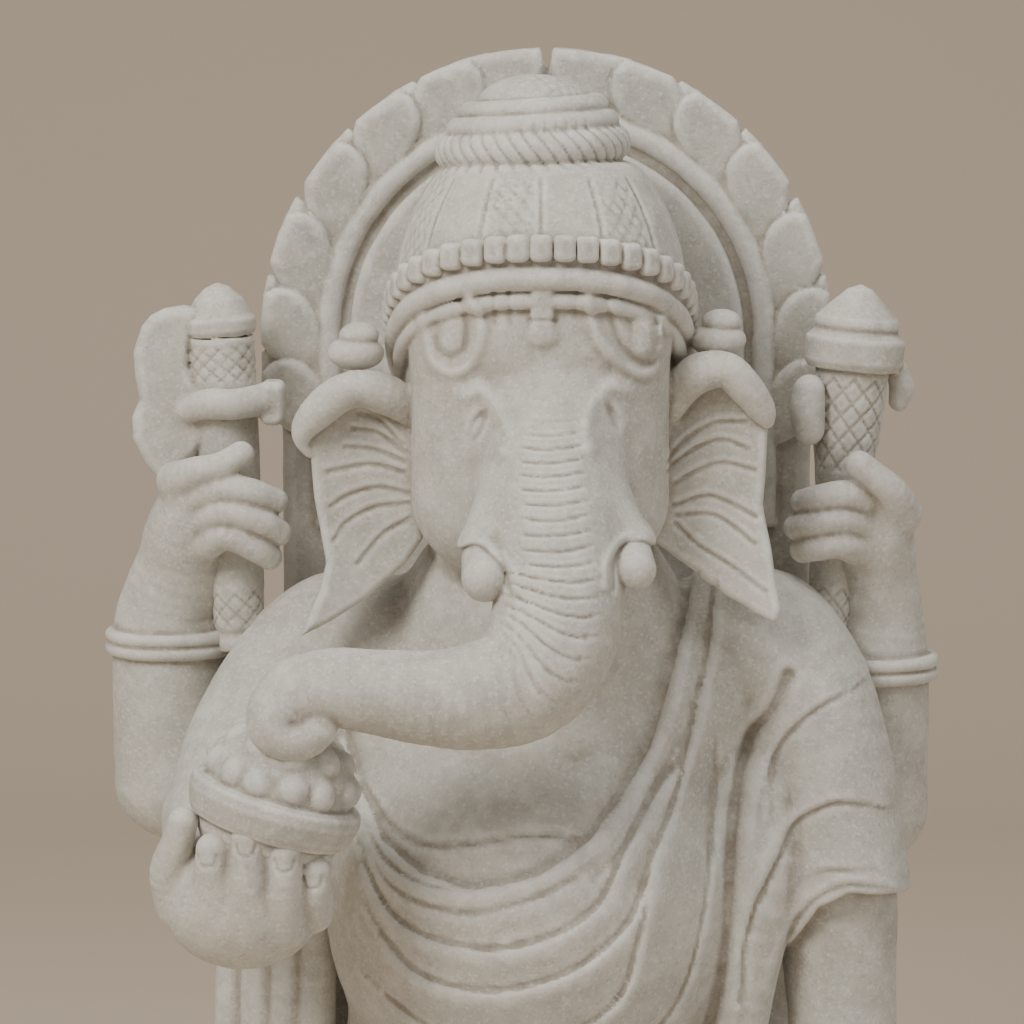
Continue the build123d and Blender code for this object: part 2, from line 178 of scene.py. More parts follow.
def dome(centre, radii, n):
    """A squarish dome: an oval of exponent n in plan, round in height."""
    c = np.array(centre, F)
    a, b, h = radii

    def distance(p):
        x, y, z = (p - c).T
        u, v = np.abs(x) / F(a) + F(1e-5), np.abs(y) / F(b) + F(1e-5)
        flat = (u ** n + v ** n) ** F(1 / n)
        k = np.sqrt(flat ** 2 + (z / F(h)) ** 2) + F(1e-5)
        return (k - 1) / np.sqrt((flat / k / F((a + b) / 2)) ** 2 + (z / k / F(h * h)) ** 2 + F(1e-8))

    r = np.array(radii, F)
    return distance, c - r, c + r


def block(centre, half, edge, turn=(0, 0, 0)):
    c, m = np.array(centre, F), turning(turn)
    h = np.array(half, F) - F(edge)
    reach = np.sqrt(((m * np.array(half, F)) ** 2).sum(1))

    def distance(p):
        q = np.abs((p - c) @ m) - h
        return size_of(np.maximum(q, 0)) + np.minimum(q.max(1), 0) - F(edge)

    return distance, c - reach, c + reach


def outline_distance(x, z, corners):
    """Signed distance in a plane from a closed outline."""
    v = np.array(corners, F)
    best = np.full(x.shape, 1e9, F)
    inside = np.zeros(x.shape, bool)
    for (ax, az), (bx, bz) in zip(v, np.roll(v, -1, 0)):
        ex, ez = bx - ax, bz - az
        wx, wz = x - ax, z - az
        t = np.clip((wx * ex + wz * ez) / (ex * ex + ez * ez), 0, 1)
        best = np.minimum(best, (wx - t * ex) ** 2 + (wz - t * ez) ** 2)
        if ez != 0:
            crosses = ((az > z) != (bz > z)) & (x < ex * (z - az) / ez + ax)
            inside ^= crosses
    return np.sqrt(best) * np.where(inside, F(-1), F(1))


def slab_of(flat, across, edge):
    """A rounded slab from a distance in its plane and one across it."""
    u, v = flat + edge, across + edge
    return np.minimum(np.maximum(u, v), 0) + np.sqrt(np.maximum(u, 0) ** 2 + np.maximum(v, 0) ** 2) - edge


def plate(corners, front, back, edge, bow=None):
    """A slab with an outline in X and Z. bow(x, z) moves it along Y."""
    v = np.array(corners, float)
    middle, half = F((front + back) / 2), F((back - front) / 2)

    def distance(p):
        y = p[:, 1] if bow is None else p[:, 1] - bow(p[:, 0], p[:, 2])
        return slab_of(outline_distance(p[:, 0], p[:, 2], v), np.abs(y - middle) - half, F(edge))

    slack = 0 if bow is None else 30
    return (distance, np.array([v[:, 0].min(), front - slack, v[:, 1].min()], F),
            np.array([v[:, 0].max(), back + slack, v[:, 1].max()], F))


def turned(foot, top, profile):
    """A body of revolution from foot to top, with (radius, height) corners."""
    a, b = np.array(foot, F), np.array(top, F)
    axis = (b - a) / np.linalg.norm(b - a)
    corners = [(-r, h) for r, h in reversed(profile)] + list(profile)
    reach = max(r for r, h in profile)
    low, high = min(h for r, h in profile), max(h for r, h in profile)

    def distance(p):
        q = p - a
        h = q @ axis
        r = size_of(q - h[:, None] * axis)
        return outline_distance(r, h, corners)

    ends = np.array([a + axis * low, a + axis * high])
    return distance, ends.min(0) - reach, ends.max(0) + reach


def path_distance(x, z, points):
    """Distance in X and Z from an open line."""
    best = np.full(x.shape, 1e9, F)
    for (ax, az), (bx, bz) in zip(points, points[1:]):
        ex, ez = bx - ax, bz - az
        wx, wz = x - ax, z - az
        t = np.clip((wx * ex + wz * ez) / (ex * ex + ez * ez), 0, 1)
        best = np.minimum(best, (wx - t * ex) ** 2 + (wz - t * ez) ** 2)
    return np.sqrt(best)


def blend(a, b, k):
    """The smaller of two distances, melted together over k."""
    if k <= 0:
        return np.minimum(a, b)
    h = np.maximum(k - np.abs(a - b), 0) / k
    return np.minimum(a, b) - h * h * (k / 4)


# Relief: how far the surface is raised, in millimetres. Negative is carved in. It is seen from the front,
# and reaches from front to back along Y.

def in_depth(p, front, back):
    """1 between two depths, falling to 0 at each."""
    return np.clip((p[:, 1] - front) / 8, 0, 1) * np.clip((back - p[:, 1]) / 8, 0, 1)


def around(line, reach, front, back):
    """The lowest and highest corner of a box round a line in X and Z."""
    (low_x, low_z), (high_x, high_z) = line.min(0) - reach, line.max(0) + reach
    return np.array([low_x, front, low_z], F), np.array([high_x, back, high_z], F)


def crease(points, width, depth, front, back, steps=4):
    """A carved line, or with a negative depth a raised one."""
    line = smooth_path(points, steps).astype(F)

    def raised(p):
        d = path_distance(p[:, 0], p[:, 2], line)
        return -F(depth) * np.exp(-(d / F(width)) ** 2) * in_depth(p, front, back)

    return raised, *around(line, 2.2 * width, front, back)


def fold(points, lift, wide, groove, front, back, steps=3):
    """A fold of cloth: a carved line with a ridge on the left of its way, which falls off over wide."""
    line = smooth_path(points, steps).astype(F)

    def raised(p):
        x, z = p[:, 0], p[:, 2]
        best, side = np.full(len(p), 1e9, F), np.zeros(len(p), F)
        for (ax, az), (bx, bz) in zip(line, line[1:]):
            ex, ez, wx, wz = bx - ax, bz - az, x - ax, z - az
            t = np.clip((wx * ex + wz * ez) / (ex * ex + ez * ez), 0, 1)
            d = (wx - t * ex) ** 2 + (wz - t * ez) ** 2
            near = d < best
            best = np.where(near, d, best)
            side = np.where(near, np.sign(ex * wz - ez * wx), side)
        s = np.sqrt(best) * side
        from_ends = np.minimum(np.hypot(x - line[0, 0], z - line[0, 1]),
                               np.hypot(x - line[-1, 0], z - line[-1, 1]))
        rise = np.clip((s + 0.6) / 3.4, 0, 1)
        ridge = F(lift) * rise * rise * (3 - 2 * rise) * np.exp(-(np.maximum(s - 2.8, 0) / F(wide)) ** 2)
        cut = F(groove) * np.exp(-((s + 0.8) / 1.5) ** 2)
        return (ridge - cut) * in_depth(p, front, back) * np.sqrt(np.clip(from_ends / 14, 0, 1))

    return raised, *around(line, 2.5 * wide, front, back)


LATTICE = np.random.default_rng(7).uniform(-1, 1, (32, 32, 32)).astype(F)


def lumps(p, pitch):
    """Smooth noise between -1 and 1."""
    q = p / F(pitch) + 100
    i = np.floor(q).astype(np.int32)
    t = q - i
    t = t * t * (3 - 2 * t)
    i &= 31
    j = (i + 1) & 31
    x0, y0, z0 = i.T
    x1, y1, z1 = j.T
    tx, ty, tz = t.T
    c00 = LATTICE[x0, y0, z0] * (1 - tx) + LATTICE[x1, y0, z0] * tx
    c10 = LATTICE[x0, y1, z0] * (1 - tx) + LATTICE[x1, y1, z0] * tx
    c01 = LATTICE[x0, y0, z1] * (1 - tx) + LATTICE[x1, y0, z1] * tx
    c11 = LATTICE[x0, y1, z1] * (1 - tx) + LATTICE[x1, y1, z1] * tx
    return (c00 * (1 - ty) + c10 * ty) * (1 - tz) + (c01 * (1 - ty) + c11 * ty) * tz


class Clay:
    """One piece: shapes added and cut in turn."""

    def __init__(self, melt, voxel):
        self.melt, self.voxel, self.steps = melt, voxel, []

    def add(self, shape, k=0):
        self.steps.append((1, shape, k))
        return self

    def cut(self, shape, k=0):
        self.steps.append((-1, shape, k))
        return self

    def box(self):
        low = np.min([s[1][1] for s in self.steps if s[0] > 0], axis=0)
        high = np.max([s[1][2] for s in self.steps if s[0] > 0], axis=0)
        return low, high

    def at(self, p, low, high):
        d = np.full(len(p), FAR, F)
        for sign, (distance, a, b), k in self.steps:
            spare = k + SHAPE_REACH
            if (a - spare > high).any() or (b + spare < low).any():
                continue
            if sign > 0:
                d = blend(d, distance(p), k)
            else:
                d = -blend(-d, distance(p), k)
        return d


class Carving:
    """Pieces that are carved out of one block: where two meet, each stops at the seam, but the surface
    runs on across it."""

    def __init__(self):
        self.pieces, self.relief = {}, []

    def piece(self, name, melt=0, voxel=1.7):
        self.pieces[name] = Clay(melt, voxel)
        return self.pieces[name]

    def press(self, *reliefs):
        self.relief += reliefs

    def whole(self, p, name):
        """The carved surface of all the pieces, and the plain ones of the named piece and of the rest."""
        low, high = p.min(0), p.max(0)
        whole = own = rest = None  # distances, once a piece is near
        for key, clay in self.pieces.items():
            a, b = clay.box()
            if (a - PIECE_REACH > high).any() or (b + PIECE_REACH < low).any():
                continue
            d = clay.at(p, low, high)
            whole = d if whole is None else blend(whole, d, clay.melt)
            if key == name:
                own = d
            else:
                rest = d if rest is None else np.minimum(rest, d)
        if whole is None:
            return np.full(len(p), FAR, F), None, None
        for raised, a, b in self.relief:
            if not ((a > high).any() or (b < low).any()):
                whole = whole - raised(p)
        for height, pitch in WAVES:
            whole = whole + height * lumps(p, pitch)
        return whole, own, rest

    def field(self, name):
        def value(p):
            whole, own, rest = self.whole(p, name)
            if own is None:
                return np.full(len(p), FAR, F)
            if rest is None:
                return whole
            over = (own - rest) / 2
            return np.maximum(whole + SEAM_SLOPE * np.clip(over, 0, 6), over - SEAM_DEPTH)

        return value


def sculpt(value, low, high, voxel):
    """Samples a field near its surface only, and meshes it: vertices in millimetres, and quads."""
    low = np.asarray(low, float) - 3 * voxel
    span = np.asarray(high, float) + 3 * voxel - low
    blocks = np.ceil(span / (voxel * BLOCK)).astype(int)
    index = np.stack(np.meshgrid(*[np.arange(n) for n in blocks], indexing="ij"), -1).reshape(-1, 3)
    middles = (low + (index + 0.5) * BLOCK * voxel - voxel / 2).astype(F)
    coarse = np.empty(len(index), F)
    order = np.lexsort((index // 4).T)
    for part in np.array_split(order, max(1, len(order) // 500)):
        coarse[part] = value(middles[part])
    near = order[np.abs(coarse[order]) < voxel * BLOCK * 0.5 * 1.75 + 5]
    band = F(2.5 * voxel)
    dense = np.empty((blocks[0], BLOCK, blocks[1], BLOCK, blocks[2], BLOCK), F)
    signs = np.where(coarse > 0, band, -band).astype(F).reshape(blocks)
    dense[:] = signs[:, None, :, None, :, None]
    step = np.stack(np.meshgrid(*[np.arange(BLOCK)] * 3, indexing="ij"), -1).reshape(-1, 3) * voxel

    def fill(part):
        i = index[part]
        points = (low + i * BLOCK * voxel)[:, None, :] + step[None]
        got = value(points.reshape(-1, 3).astype(F))
        cubes = np.clip(got, -band, band).reshape(-1, BLOCK, BLOCK, BLOCK)
        dense[i[:, 0], :, i[:, 1], :, i[:, 2], :] = cubes

    for part in np.array_split(near, max(1, len(near) // 64)):
        fill(part)
    grid = openvdb.FloatGrid(float(band))
    grid.copyFromArray(np.ascontiguousarray(dense.reshape([n * BLOCK for n in blocks])), tolerance=0.0)
    points, _, quads = grid.convertToPolygons(isovalue=0, adaptivity=0.0)
    points, quads = low + points * voxel, quads.astype(np.int64)
    corner = points[quads]
    crossed = np.cross(corner[:, 1], corner[:, 2]) + np.cross(corner[:, 2], corner[:, 3])
    volume = np.einsum("ij,ij->", corner[:, 0], crossed)
    return points, quads if volume > 0 else quads[:, ::-1]


def averaged(values, pairs, count, rounds):
    weight = np.bincount(pairs[:, 0], minlength=count) + 1e-9
    for _ in range(rounds):
        values = np.stack([np.bincount(pairs[:, 0], values[pairs[:, 1], i], count) / weight
                           for i in range(values.shape[1])], 1)
    return values


def hollows(points, quads):
    """How deep each vertex lies below its surroundings, in millimetres, close by and further out."""
    corner = points[quads]
    face = np.cross(corner[:, 2] - corner[:, 0], corner[:, 3] - corner[:, 1])
    normal = np.stack([np.bincount(quads.ravel(), np.repeat(face[:, i], 4), len(points))
                       for i in range(3)], 1)
    normal /= np.linalg.norm(normal, axis=1)[:, None] + 1e-12
    edges = np.concatenate([quads[:, [i, (i + 1) % 4]] for i in range(4)])
    pairs = np.concatenate([edges, edges[:, ::-1]])
    near = averaged(points, pairs, len(points), 4)
    far = averaged(near, pairs, len(points), 22)
    close_by = np.einsum("ij,ij->i", near - points, normal)
    further = np.einsum("ij,ij->i", far - points, normal)
    return close_by, further


def mesh_of(name, points, quads, layers):
    mesh = bpy.data.meshes.new(name)
    mesh.vertices.add(len(points))
    mesh.vertices.foreach_set("co", (points / 1000 + ORIGIN).astype(F).ravel())
    mesh.loops.add(4 * len(quads))
    mesh.loops.foreach_set("vertex_index", quads.astype(np.int32).ravel())
    mesh.polygons.add(len(quads))
    mesh.polygons.foreach_set("loop_start", np.arange(len(quads), dtype=np.int32) * 4)
    mesh.polygons.foreach_set("use_smooth", np.ones(len(quads), bool))
    for key, values in layers.items():
        layer = mesh.attributes.new(key, "FLOAT", "POINT")
        layer.data.foreach_set("value", np.asarray(values, F))
    mesh.update()
    mesh.validate()
    return mesh


# The block: figure, clothes and ornaments
figure = Carving()

# Head
head = figure.piece("head", 0, 1.5)
head.add(block((-3, -60, 700), (77, 67, 98), 46))
head.add(ell((-5, -24, 722), (78, 74, 84)), 20)
head.add(ell((-4, -74, 748), (74, 61, 52)), 14)
head.add(ell((-30, -118, 700), (15, 13, 24), (0, 25, 0)), 12)
head.add(ell((29, -118, 704), (15, 13, 24), (0, -22, 0)), 12)
head.cut(ell((-40.5, -137, 695), (6.2, 11, 15), (0, 27, 0)), 2.5)
head.cut(ell((40, -137, 699.5), (5.8, 11, 14.5), (0, -24, 0)), 2.5)

trunk_path = [(2, -96, 738, 26), (3, -112, 704, 31), (4, -134, 668, 35), (6, -157, 630, 38),
              (7, -174, 598, 38), (1, -187, 572, 37), (-14, -195, 554, 34.5), (-40, -200, 546.5, 31),
              (-67, -203, 546, 27.5), (-97, -206, 550, 24.5), (-124, -208, 553, 22.5),
              (-143, -209, 550, 21)]
trunk = figure.piece("trunk", 16, 1.35)
trunk.add(limb(*trunk_path, steps=3))
trunk.add(limb((-143, -210, 548, 20), (-153, -213, 541, 18), (-155, -216, 532, 16), (-148, -218, 526, 14),
               (-138, -219, 526, 12.5), (-131, -219, 531, 11.5)), 3)
trunk.cut(rod((-141, -232, 541, 2.2), (-128, -232, 537, 3.2), (-118, -230, 532, 3.5)), 3)

for name, stations in (
        ("right_tusk_sheath", ((-14, -112, 692, 10), (-20, -130, 666, 15), (-29, -146, 642, 17),
                               (-33.5, -153, 629, 17.5))),
        ("left_tusk_sheath", ((24, -112, 692, 10), (29, -130, 666, 15), (39, -146, 642, 16.5),
                              (46, -153, 630, 16.5)))):
    figure.piece(name, 13, 1.15).add(limb(*stations))

tusk_ends = {"right_tusk": ((-35, -146, 632), (-35.5, -184, 613), 14.6),
             "left_tusk": ((49, -146, 634), (51.5, -178, 617), 12.6)}
for name, (start, end, radius) in tusk_ends.items():
    figure.piece(name, 1.2, 1.1).add(rod((*start, radius), (*end, radius - 1)))

# Eyes: an almond deep in a hooded socket
for name, x, z, lean in (("right_eye", -40, 695, 27), ("left_eye", 39.5, 699.5, -24)):
    figure.piece(name, 1.0, 1.0).add(ell((x, -121.5, z), (5.2, 7.5, 13.6), (0, lean, 0)))

mark = figure.piece("forehead_mark", 1.5, 1.1)
mark.add(block((-2.5, -132, 767), (6.6, 8, 18), 3.5, (4, 0, 2)))
mark.add(ell((-2, -131, 749), (11.5, 9, 9.5)), 2)

boss = figure.piece("right_temple_boss", 3, 1.1)
boss.add(limb((-53, -119, 744, 9.5), (-51, -120, 754, 7.5), (-46, -119, 768, 4.5)))
boss.add(limb((-68, -100, 764, 4), (-70, -102, 745, 4.2), (-64, -108, 731, 4.4), (-54, -112, 726.5, 4.4),
              (-45, -115, 733, 4.2), (-40, -117, 747, 3.8), (-39, -117, 764, 3)), 2)
boss = figure.piece("left_temple_boss", 3, 1.1)
boss.add(limb((55, -112, 742, 12), (55, -114, 753, 10), (48, -117, 768, 6)))
boss.add(limb((29, -115, 767, 3.2), (32, -115, 753, 3.8), (40, -114, 738, 4.4), (53, -109, 727, 4.8),
              (64, -102, 727, 4.6), (69, -97, 739, 4.4), (69, -98, 755, 3.8), (63, -100, 766, 3)), 2)

# Crown
BAND = dict(centre=(-3, -40, 747), half=(88, 110), tilt=-26.57, square=2.5)
BAND_TURN = (BAND["tilt"], 0, 0)


def band_point(turn, drop=0, out=0.0):
    """A point on the headband's tilted oval, turn radians round from the front."""
    power = 2 / BAND["square"]
    a, b = BAND["half"][0] + out, BAND["half"][1] + out
    across = a * math.copysign(abs(math.sin(turn)) ** power, math.sin(turn))
    along = b * math.copysign(abs(math.cos(turn)) ** power, math.cos(turn))
    t = math.radians(-BAND["tilt"])
    cx, cy, cz = BAND["centre"]
    return np.array([cx + across, cy - along * math.cos(t), cz + along * math.sin(t) - drop])


cap = figure.piece("crown_cap", 1.5, 1.6)
cap.add(dome((-3, -40, 756), (90, 103, 118), 2.5))
cap.cut(block((-3, -42, 948), (120, 140, 100), 3), 8)
tilt, below = math.radians(-BAND["tilt"]), 213
cap.cut(block((-3, -40 - below * math.sin(tilt), 747 - below * math.cos(tilt)), (300, 300, 200), 1,
              BAND_TURN), 2)

beads = figure.piece("bead_band", 1.2, 1.35)
turn, last = 0.0, None
while turn < 2.2:
    place = band_point(turn, -3.5, 1.0)
    if last is None or np.linalg.norm(place - last) >= 13.2 or turn == 0:
        heading = band_point(turn + 0.02) - band_point(turn - 0.02)
        lean = math.degrees(math.atan2(heading[1], heading[0]))
        for side in (-1, 1)[: 1 if turn == 0 else 2]:
            x = BAND["centre"][0] + side * (place[0] - BAND["centre"][0])
            beads.add(block((x, place[1], place[2]), (6.5, 6.4, 8), 3.6, (0, 0, side * lean)), 1.0)
        last = place
    turn += 0.004
for name, drop, tube, inset in (("brow_roll", 13.5, 7, -1), ("brow_fillet", 25.5, 4.8, -3.5)):
    cx, cy, cz = BAND["centre"]
    half = (BAND["half"][0] + inset, BAND["half"][1] + inset)
    figure.piece(name, 1.2, 1.5).add(roll((cx, cy, cz - drop), half, tube, BAND_TURN, BAND["square"]))

head.add(disc((-3, -40, 727.5), (84, 106), 7, BAND_TURN, BAND["square"]))

rope = figure.piece("crown_rope_roll", 1.5, 1.35)
rope.add(roll((-7.5, -42, 855.5), (48, 48), 11.5, (0, -3.5, 0)))
rope.add(ell((-7.5, -42, 853), (46, 46, 9)), 2)
upper = figure.piece("crown_upper_roll", 1.5, 1.35)
upper.add(roll((-7.5, -42, 869), (44.5, 44.5), 7.6, (0, -3.5, 0)))
upper.add(roll((-7, -42, 878.5), (38, 38), 7.2, (0, -4, 0)))
finial = figure.piece("crown_finial", 1.5, 1.5)
finial.add(ell((-6, -42, 877), (37, 37, 22.5)))

# Ears: a bowed sail under a thick rolled strap, with veins fanning out from the skull
ears = {
    "right_ear": (-1, [(-72, 706), (-96, 712), (-120, 714), (-138, 702), (-147, 688), (-141, 672),
                       (-139, 648), (-135, 624), (-132, 607), (-135, 593), (-143, 574), (-147, 564),
                       (-128, 573), (-107, 586), (-84, 606), (-74, 620)],
                  [(-80, -64, 697, 9), (-94, -72, 708, 12), (-111, -78, 713, 11), (-124, -80, 709, 11),
                   (-136, -79, 699, 10.5), (-144, -77, 690, 8), (-146, -75, 681, 5), (-142, -73, 673, 2.5)],
                  [[(-82, 648), (-100, 652), (-118, 648), (-129, 641)],
                   [(-82, 642), (-103, 640), (-120, 631), (-127, 621)],
                   [(-82, 633), (-98, 624), (-113, 607)], [(-85, 661), (-105, 666), (-131, 662)],
                   [(-85, 668), (-103, 675), (-120, 677)], [(-84, 673), (-100, 685), (-116, 688)],
                   [(-86, 678), (-100, 693), (-112, 697)]]),
    "left_ear": (1, [(62, 706), (84, 716), (104, 722), (120, 714), (134, 694), (133, 664), (131, 642),
                     (136, 617), (139, 596), (142, 579), (138, 572), (126, 577), (104, 592), (80, 608),
                     (64, 620)],
                 [(74, -64, 698, 9), (82, -70, 712, 11), (92, -77, 722, 12), (108, -80, 724, 11),
                  (120, -79, 713, 10.5), (129, -76, 701, 8.5), (133, -74, 693, 4.5)],
                 [[(74, 669), (84, 681), (102, 691), (120, 692)],
                  [(74, 664), (91, 676), (107, 681), (122, 676)],
                  [(78, 654), (89, 661), (107, 667), (126, 663)],
                  [(78, 641), (96, 647), (109, 644), (127, 635)],
                  [(79, 635), (97, 636), (109, 632), (126, 619)],
                  [(79, 630), (93, 617), (111, 606), (132, 591)]]),
}
for name, (side, outline, strap, veins) in ears.items():
    ear = figure.piece(name, 3, 1.3)

    def bow(x, z, side=side):
        out = np.clip((side * x - 76) / 66, 0, 1.2)
        low = np.clip((640 - z) / 70, 0, 1)
        return -10 * out ** 2 - 14 * low ** 1.5

    ear.add(plate(outline, -66, -50, 5, bow))
    ear.add(limb(*strap), 1.5)
    for vein in veins:
        figure.press(crease(vein, 1.5, 1.5, -110, -58),
                     crease([(x, z + 3.2) for x, z in vein], 2.4, -0.7, -110, -58))
for name, x, z in (("right_ear_knob", -114, 733), ("left_ear_knob", 104, 741)):
    knob = figure.piece(name, 1.5, 1.2)
    knob.add(ell((x, -62, z), (17, 15, 10.5)))
    knob.add(ell((x + 2, -62, z + 10.5), (12, 11.5, 8)), 1)

# Body
torso = figure.piece("torso", 14, 2.7)
torso.add(ell((-8, -28, 394), (124, 122, 134)))
torso.add(ell((2, -4, 505), (150, 84, 80)), 36)
torso.add(ell((0, 0, 235), (136, 104, 112)), 40)
torso.add(ell((-2, -18, 575), (84, 72, 66)), 30)
torso.add(ell((-122, 2, 545), (52, 50, 42)), 26)
torso.add(ell((130, 2, 540), (54, 52, 44)), 26)
torso.cut(block((0, 266, 400), (400, 200, 600), 1))

arm = figure.piece("front_right_arm", 20, 1.7)
arm.add(limb((-124, -2, 542, 46), (-152, -12, 522, 47), (-176, -34, 486, 45), (-192, -62, 448, 40)))
arm.add(limb((-193, -64, 440, 38), (-193, -104, 428, 35), (-186, -140, 424, 31), (-180, -166, 424, 27)), 10)
arm = figure.piece("front_left_arm", 10, 1.8)
arm.add(limb((128, -6, 536, 42), (154, -12, 516, 44), (170, -24, 468, 41), (180, -32, 400, 38),
             (184, -38, 330, 34), (186, -46, 284, 33)))
arm.add(limb((187, -48, 276, 32), (182, -90, 258, 29), (172, -132, 242, 23)), 8)

for side, name, ex, ez, fore in (
        (-1, "rear_right_arm", -235, 440, ((-236, 40, 455, 36), (-236, 40, 500, 37), (-236, 39, 542, 36),
                                           (-236, 37, 562, 32.5), (-227, 30, 592, 29),
                                           (-222, 22, 615, 24))),
        (1, "rear_left_arm", 209, 424, ((209, 40, 436, 34), (209, 40, 484, 35), (209, 39, 530, 34),
                                        (212, 35, 562, 27), (208, 27, 594, 25), (206, 18, 612, 22)))):
    arm = figure.piece(name, 12, 1.9)
    arm.add(limb((side * 108, 34, 505, 34), (side * 170, 38, 478, 35), (ex - side * 8, 40, ez + 12, 36)))
    arm.add(limb(*fore), 12)

# Clothes
shawl_outline = [(110, 600), (91, 582), (81, 554), (72, 526), (63, 497), (44, 471), (26, 450), (-3, 430),
                 (-45, 422), (-74, 428), (-98, 443), (-112, 468), (-124, 500), (-160, 470), (-160, 270),
                 (170, 270), (190, 420), (190, 600)]
shawl = figure.piece("shawl", 1.2, 2.35)
shawl.add(ell((-8, -29, 392), (127.5, 126.5, 138)))
shawl.add(ell((2, -6, 505), (154, 88, 85)), 36)
shawl.add(ell((128, -2, 545), (58, 55, 50)), 26)
shawl.add(ell((0, -4, 262), (134, 106, 100)), 30)
shawl.add(limb((132, -42, 460, 34), (125, -56, 410, 32), (117, -62, 352, 26), (110, -58, 300, 24),
               (104, -50, 270, 24)), 10)
outside = plate(shawl_outline, -300, 60, 4)
shawl.cut((lambda p: -outside[0](p), np.full(3, -1000, F), np.full(3, 1000, F)), 3)
shawl.cut(block((0, 262, 400), (400, 200, 600), 1))

sleeve = figure.piece("shawl_sleeve", 6, 1.6)
sleeve.add(limb((116, -4, 546, 50), (146, -12, 526, 52), (166, -26, 480, 48), (176, -34, 430, 46),
                (180, -40, 400, 46)))
sleeve.cut(plate([(240, 398), (208, 404), (184, 406), (166, 397), (151, 371), (140, 346), (122, 300),
                  (240, 300)], -200, 100, 2), 3)

fall = figure.piece("shawl_fall", 3, 1.9)
for x, y, radius in ((-199, 22, 13), (-182, 8, 13), (-164, 0, 13), (-147, -6, 12)):
    fall.add(rod((x, y, 106, radius + 4), (x + 3, y, 250, radius + 1), (x + 6, y, 420, radius)), 4)
fall.cut(block((-180, 0, 84), (200, 200, 20), 0.5))

# Legs, crossed on the seat
leg = figure.piece("right_leg", 16, 2.0)
leg.add(limb((-40, 8, 170, 62), (-120, -38, 166, 60), (-190, -92, 154, 51), (-226, -118, 148, 40)))
leg.add(limb((-228, -120, 142, 37), (-130, -168, 136, 33), (-30, -186, 132, 28), (28, -190, 128, 24)), 14)
leg.cut(block((0, 0, 84), (400, 400, 20), 0.5))
leg = figure.piece("left_leg", 16, 2.0)
leg.add(limb((40, 8, 170, 62), (120, -38, 166, 60), (190, -92, 154, 51), (226, -118, 148, 40)))
leg.add(limb((228, -120, 142, 37), (150, -158, 136, 32), (70, -164, 130, 27)), 14)
leg.cut(block((0, 0, 84), (400, 400, 20), 0.5))
for name, side, x, y in (("right_foot", 1, 78, -206), ("left_foot", -1, -150, -207)):
    foot = figure.piece(name, 8, 1.6)
    foot.add(limb((x - side * 34, y + 4, 124, 19), (x, y, 123, 18), (x + side * 22, y - 2, 121, 15)))
    for i in range(5):
        tip_x, tip_radius = x + side * (36 + 2 * min(i, 3)), 5.6 + (i == 4)
        foot.add(rod((x + side * 20, y - 6, 110 + 6.2 * i, 6), (tip_x, y - 7, 109 + 6.6 * i, tip_radius)),
                 2)
    foot.cut(block((0, 0, 84), (400, 400, 20), 0.5))

# Hands
hand = figure.piece("front_left_hand", 8, 1.5)
hand.add(limb((170, -134, 240, 23), (166, -154, 230, 22), (166, -170, 222, 18)))
hand.add(ell((168, -164, 226), (27, 20, 14), (-20, 0, 0)), 8)
for i, x in enumerate((148, 161.5, 175, 188)):
    hand.add(limb((x, -172, 224, 8.4), (x - 2, -188, 219, 8.2), (x - 3, -200 + 3 * i, 204, 7.2)), 2.5)
hand.add(limb((150, -146, 232, 9.5), (138, -158, 222, 9), (133, -170, 212, 7.6)), 4)

hand = figure.piece("front_right_hand", 8, 1.2)
hand.add(ell((-176, -188, 424), (47, 37, 39)))
hand.add(ell((-192, -170, 432), (36, 28, 36)), 10)
for x, y, low, top, radius in ((-192, -213, 412, 463, 10.6), (-171, -218, 408, 471, 11),
                               (-150.5, -217, 412, 462, 10.6), (-133.5, -207, 418, 449, 9.6)):
    tip = (x + 0.6, y - 3, top - 2, radius - 1.1)
    hand.add(limb((x, y + 10, low, radius), (x, y, (low + top) / 2, radius), tip), 5)
hand.add(limb((-213, -184, 424, 15), (-218, -194, 444, 11.5), (-212, -201, 463, 9.3),
              (-209, -203, 474, 8.6)), 5)

for name, palm, fingers, thumb in (
        ("rear_right_hand", ((-223, 20, 612, 25), (-220, 15, 628, 22), (-221, 12, 642, 17)),
         (((-218, 2, 636, 10), (-199, -12, 645, 9.2), (-180, -14, 643, 8.6), (-166, -8, 637, 7.8)),
          ((-216, 2, 622, 10), (-196, -13, 631, 9.4), (-176, -14, 625, 8.8), (-164, -8, 617, 8)),
          ((-212, 4, 608, 11), (-196, -11, 616, 9.8), (-178, -12, 608, 9), (-170, -8, 602, 8.2))),
         ((-229, 6, 648, 12), (-214, -8, 655, 9.5), (-199, -12, 659, 8.8), (-187, -11, 666, 8.4))),
        ("rear_left_hand", ((206, 20, 606, 23), (207, 16, 622, 21), (210, 13, 634, 17)),
         (((202, 4, 634, 10), (186, -12, 641, 9.2), (170, -13, 639, 8.6), (160, -6, 636, 7.8)),
          ((200, 4, 619, 10), (182, -13, 626, 9.4), (166, -13, 623, 8.8), (156, -6, 620, 8)),
          ((198, 5, 604, 10.5), (182, -11, 611, 9.6), (168, -12, 609, 9), (160, -6, 606, 8.2))),
         ((222, 6, 628, 13), (214, -8, 643, 10), (204, -12, 652, 9), (194, -13, 660, 8.6)))):
    hand = figure.piece(name, 10, 1.3)
    hand.add(limb(*palm))
    for stations in fingers:
        hand.add(limb(*stations), 3)
    hand.add(limb(*thumb), 4)
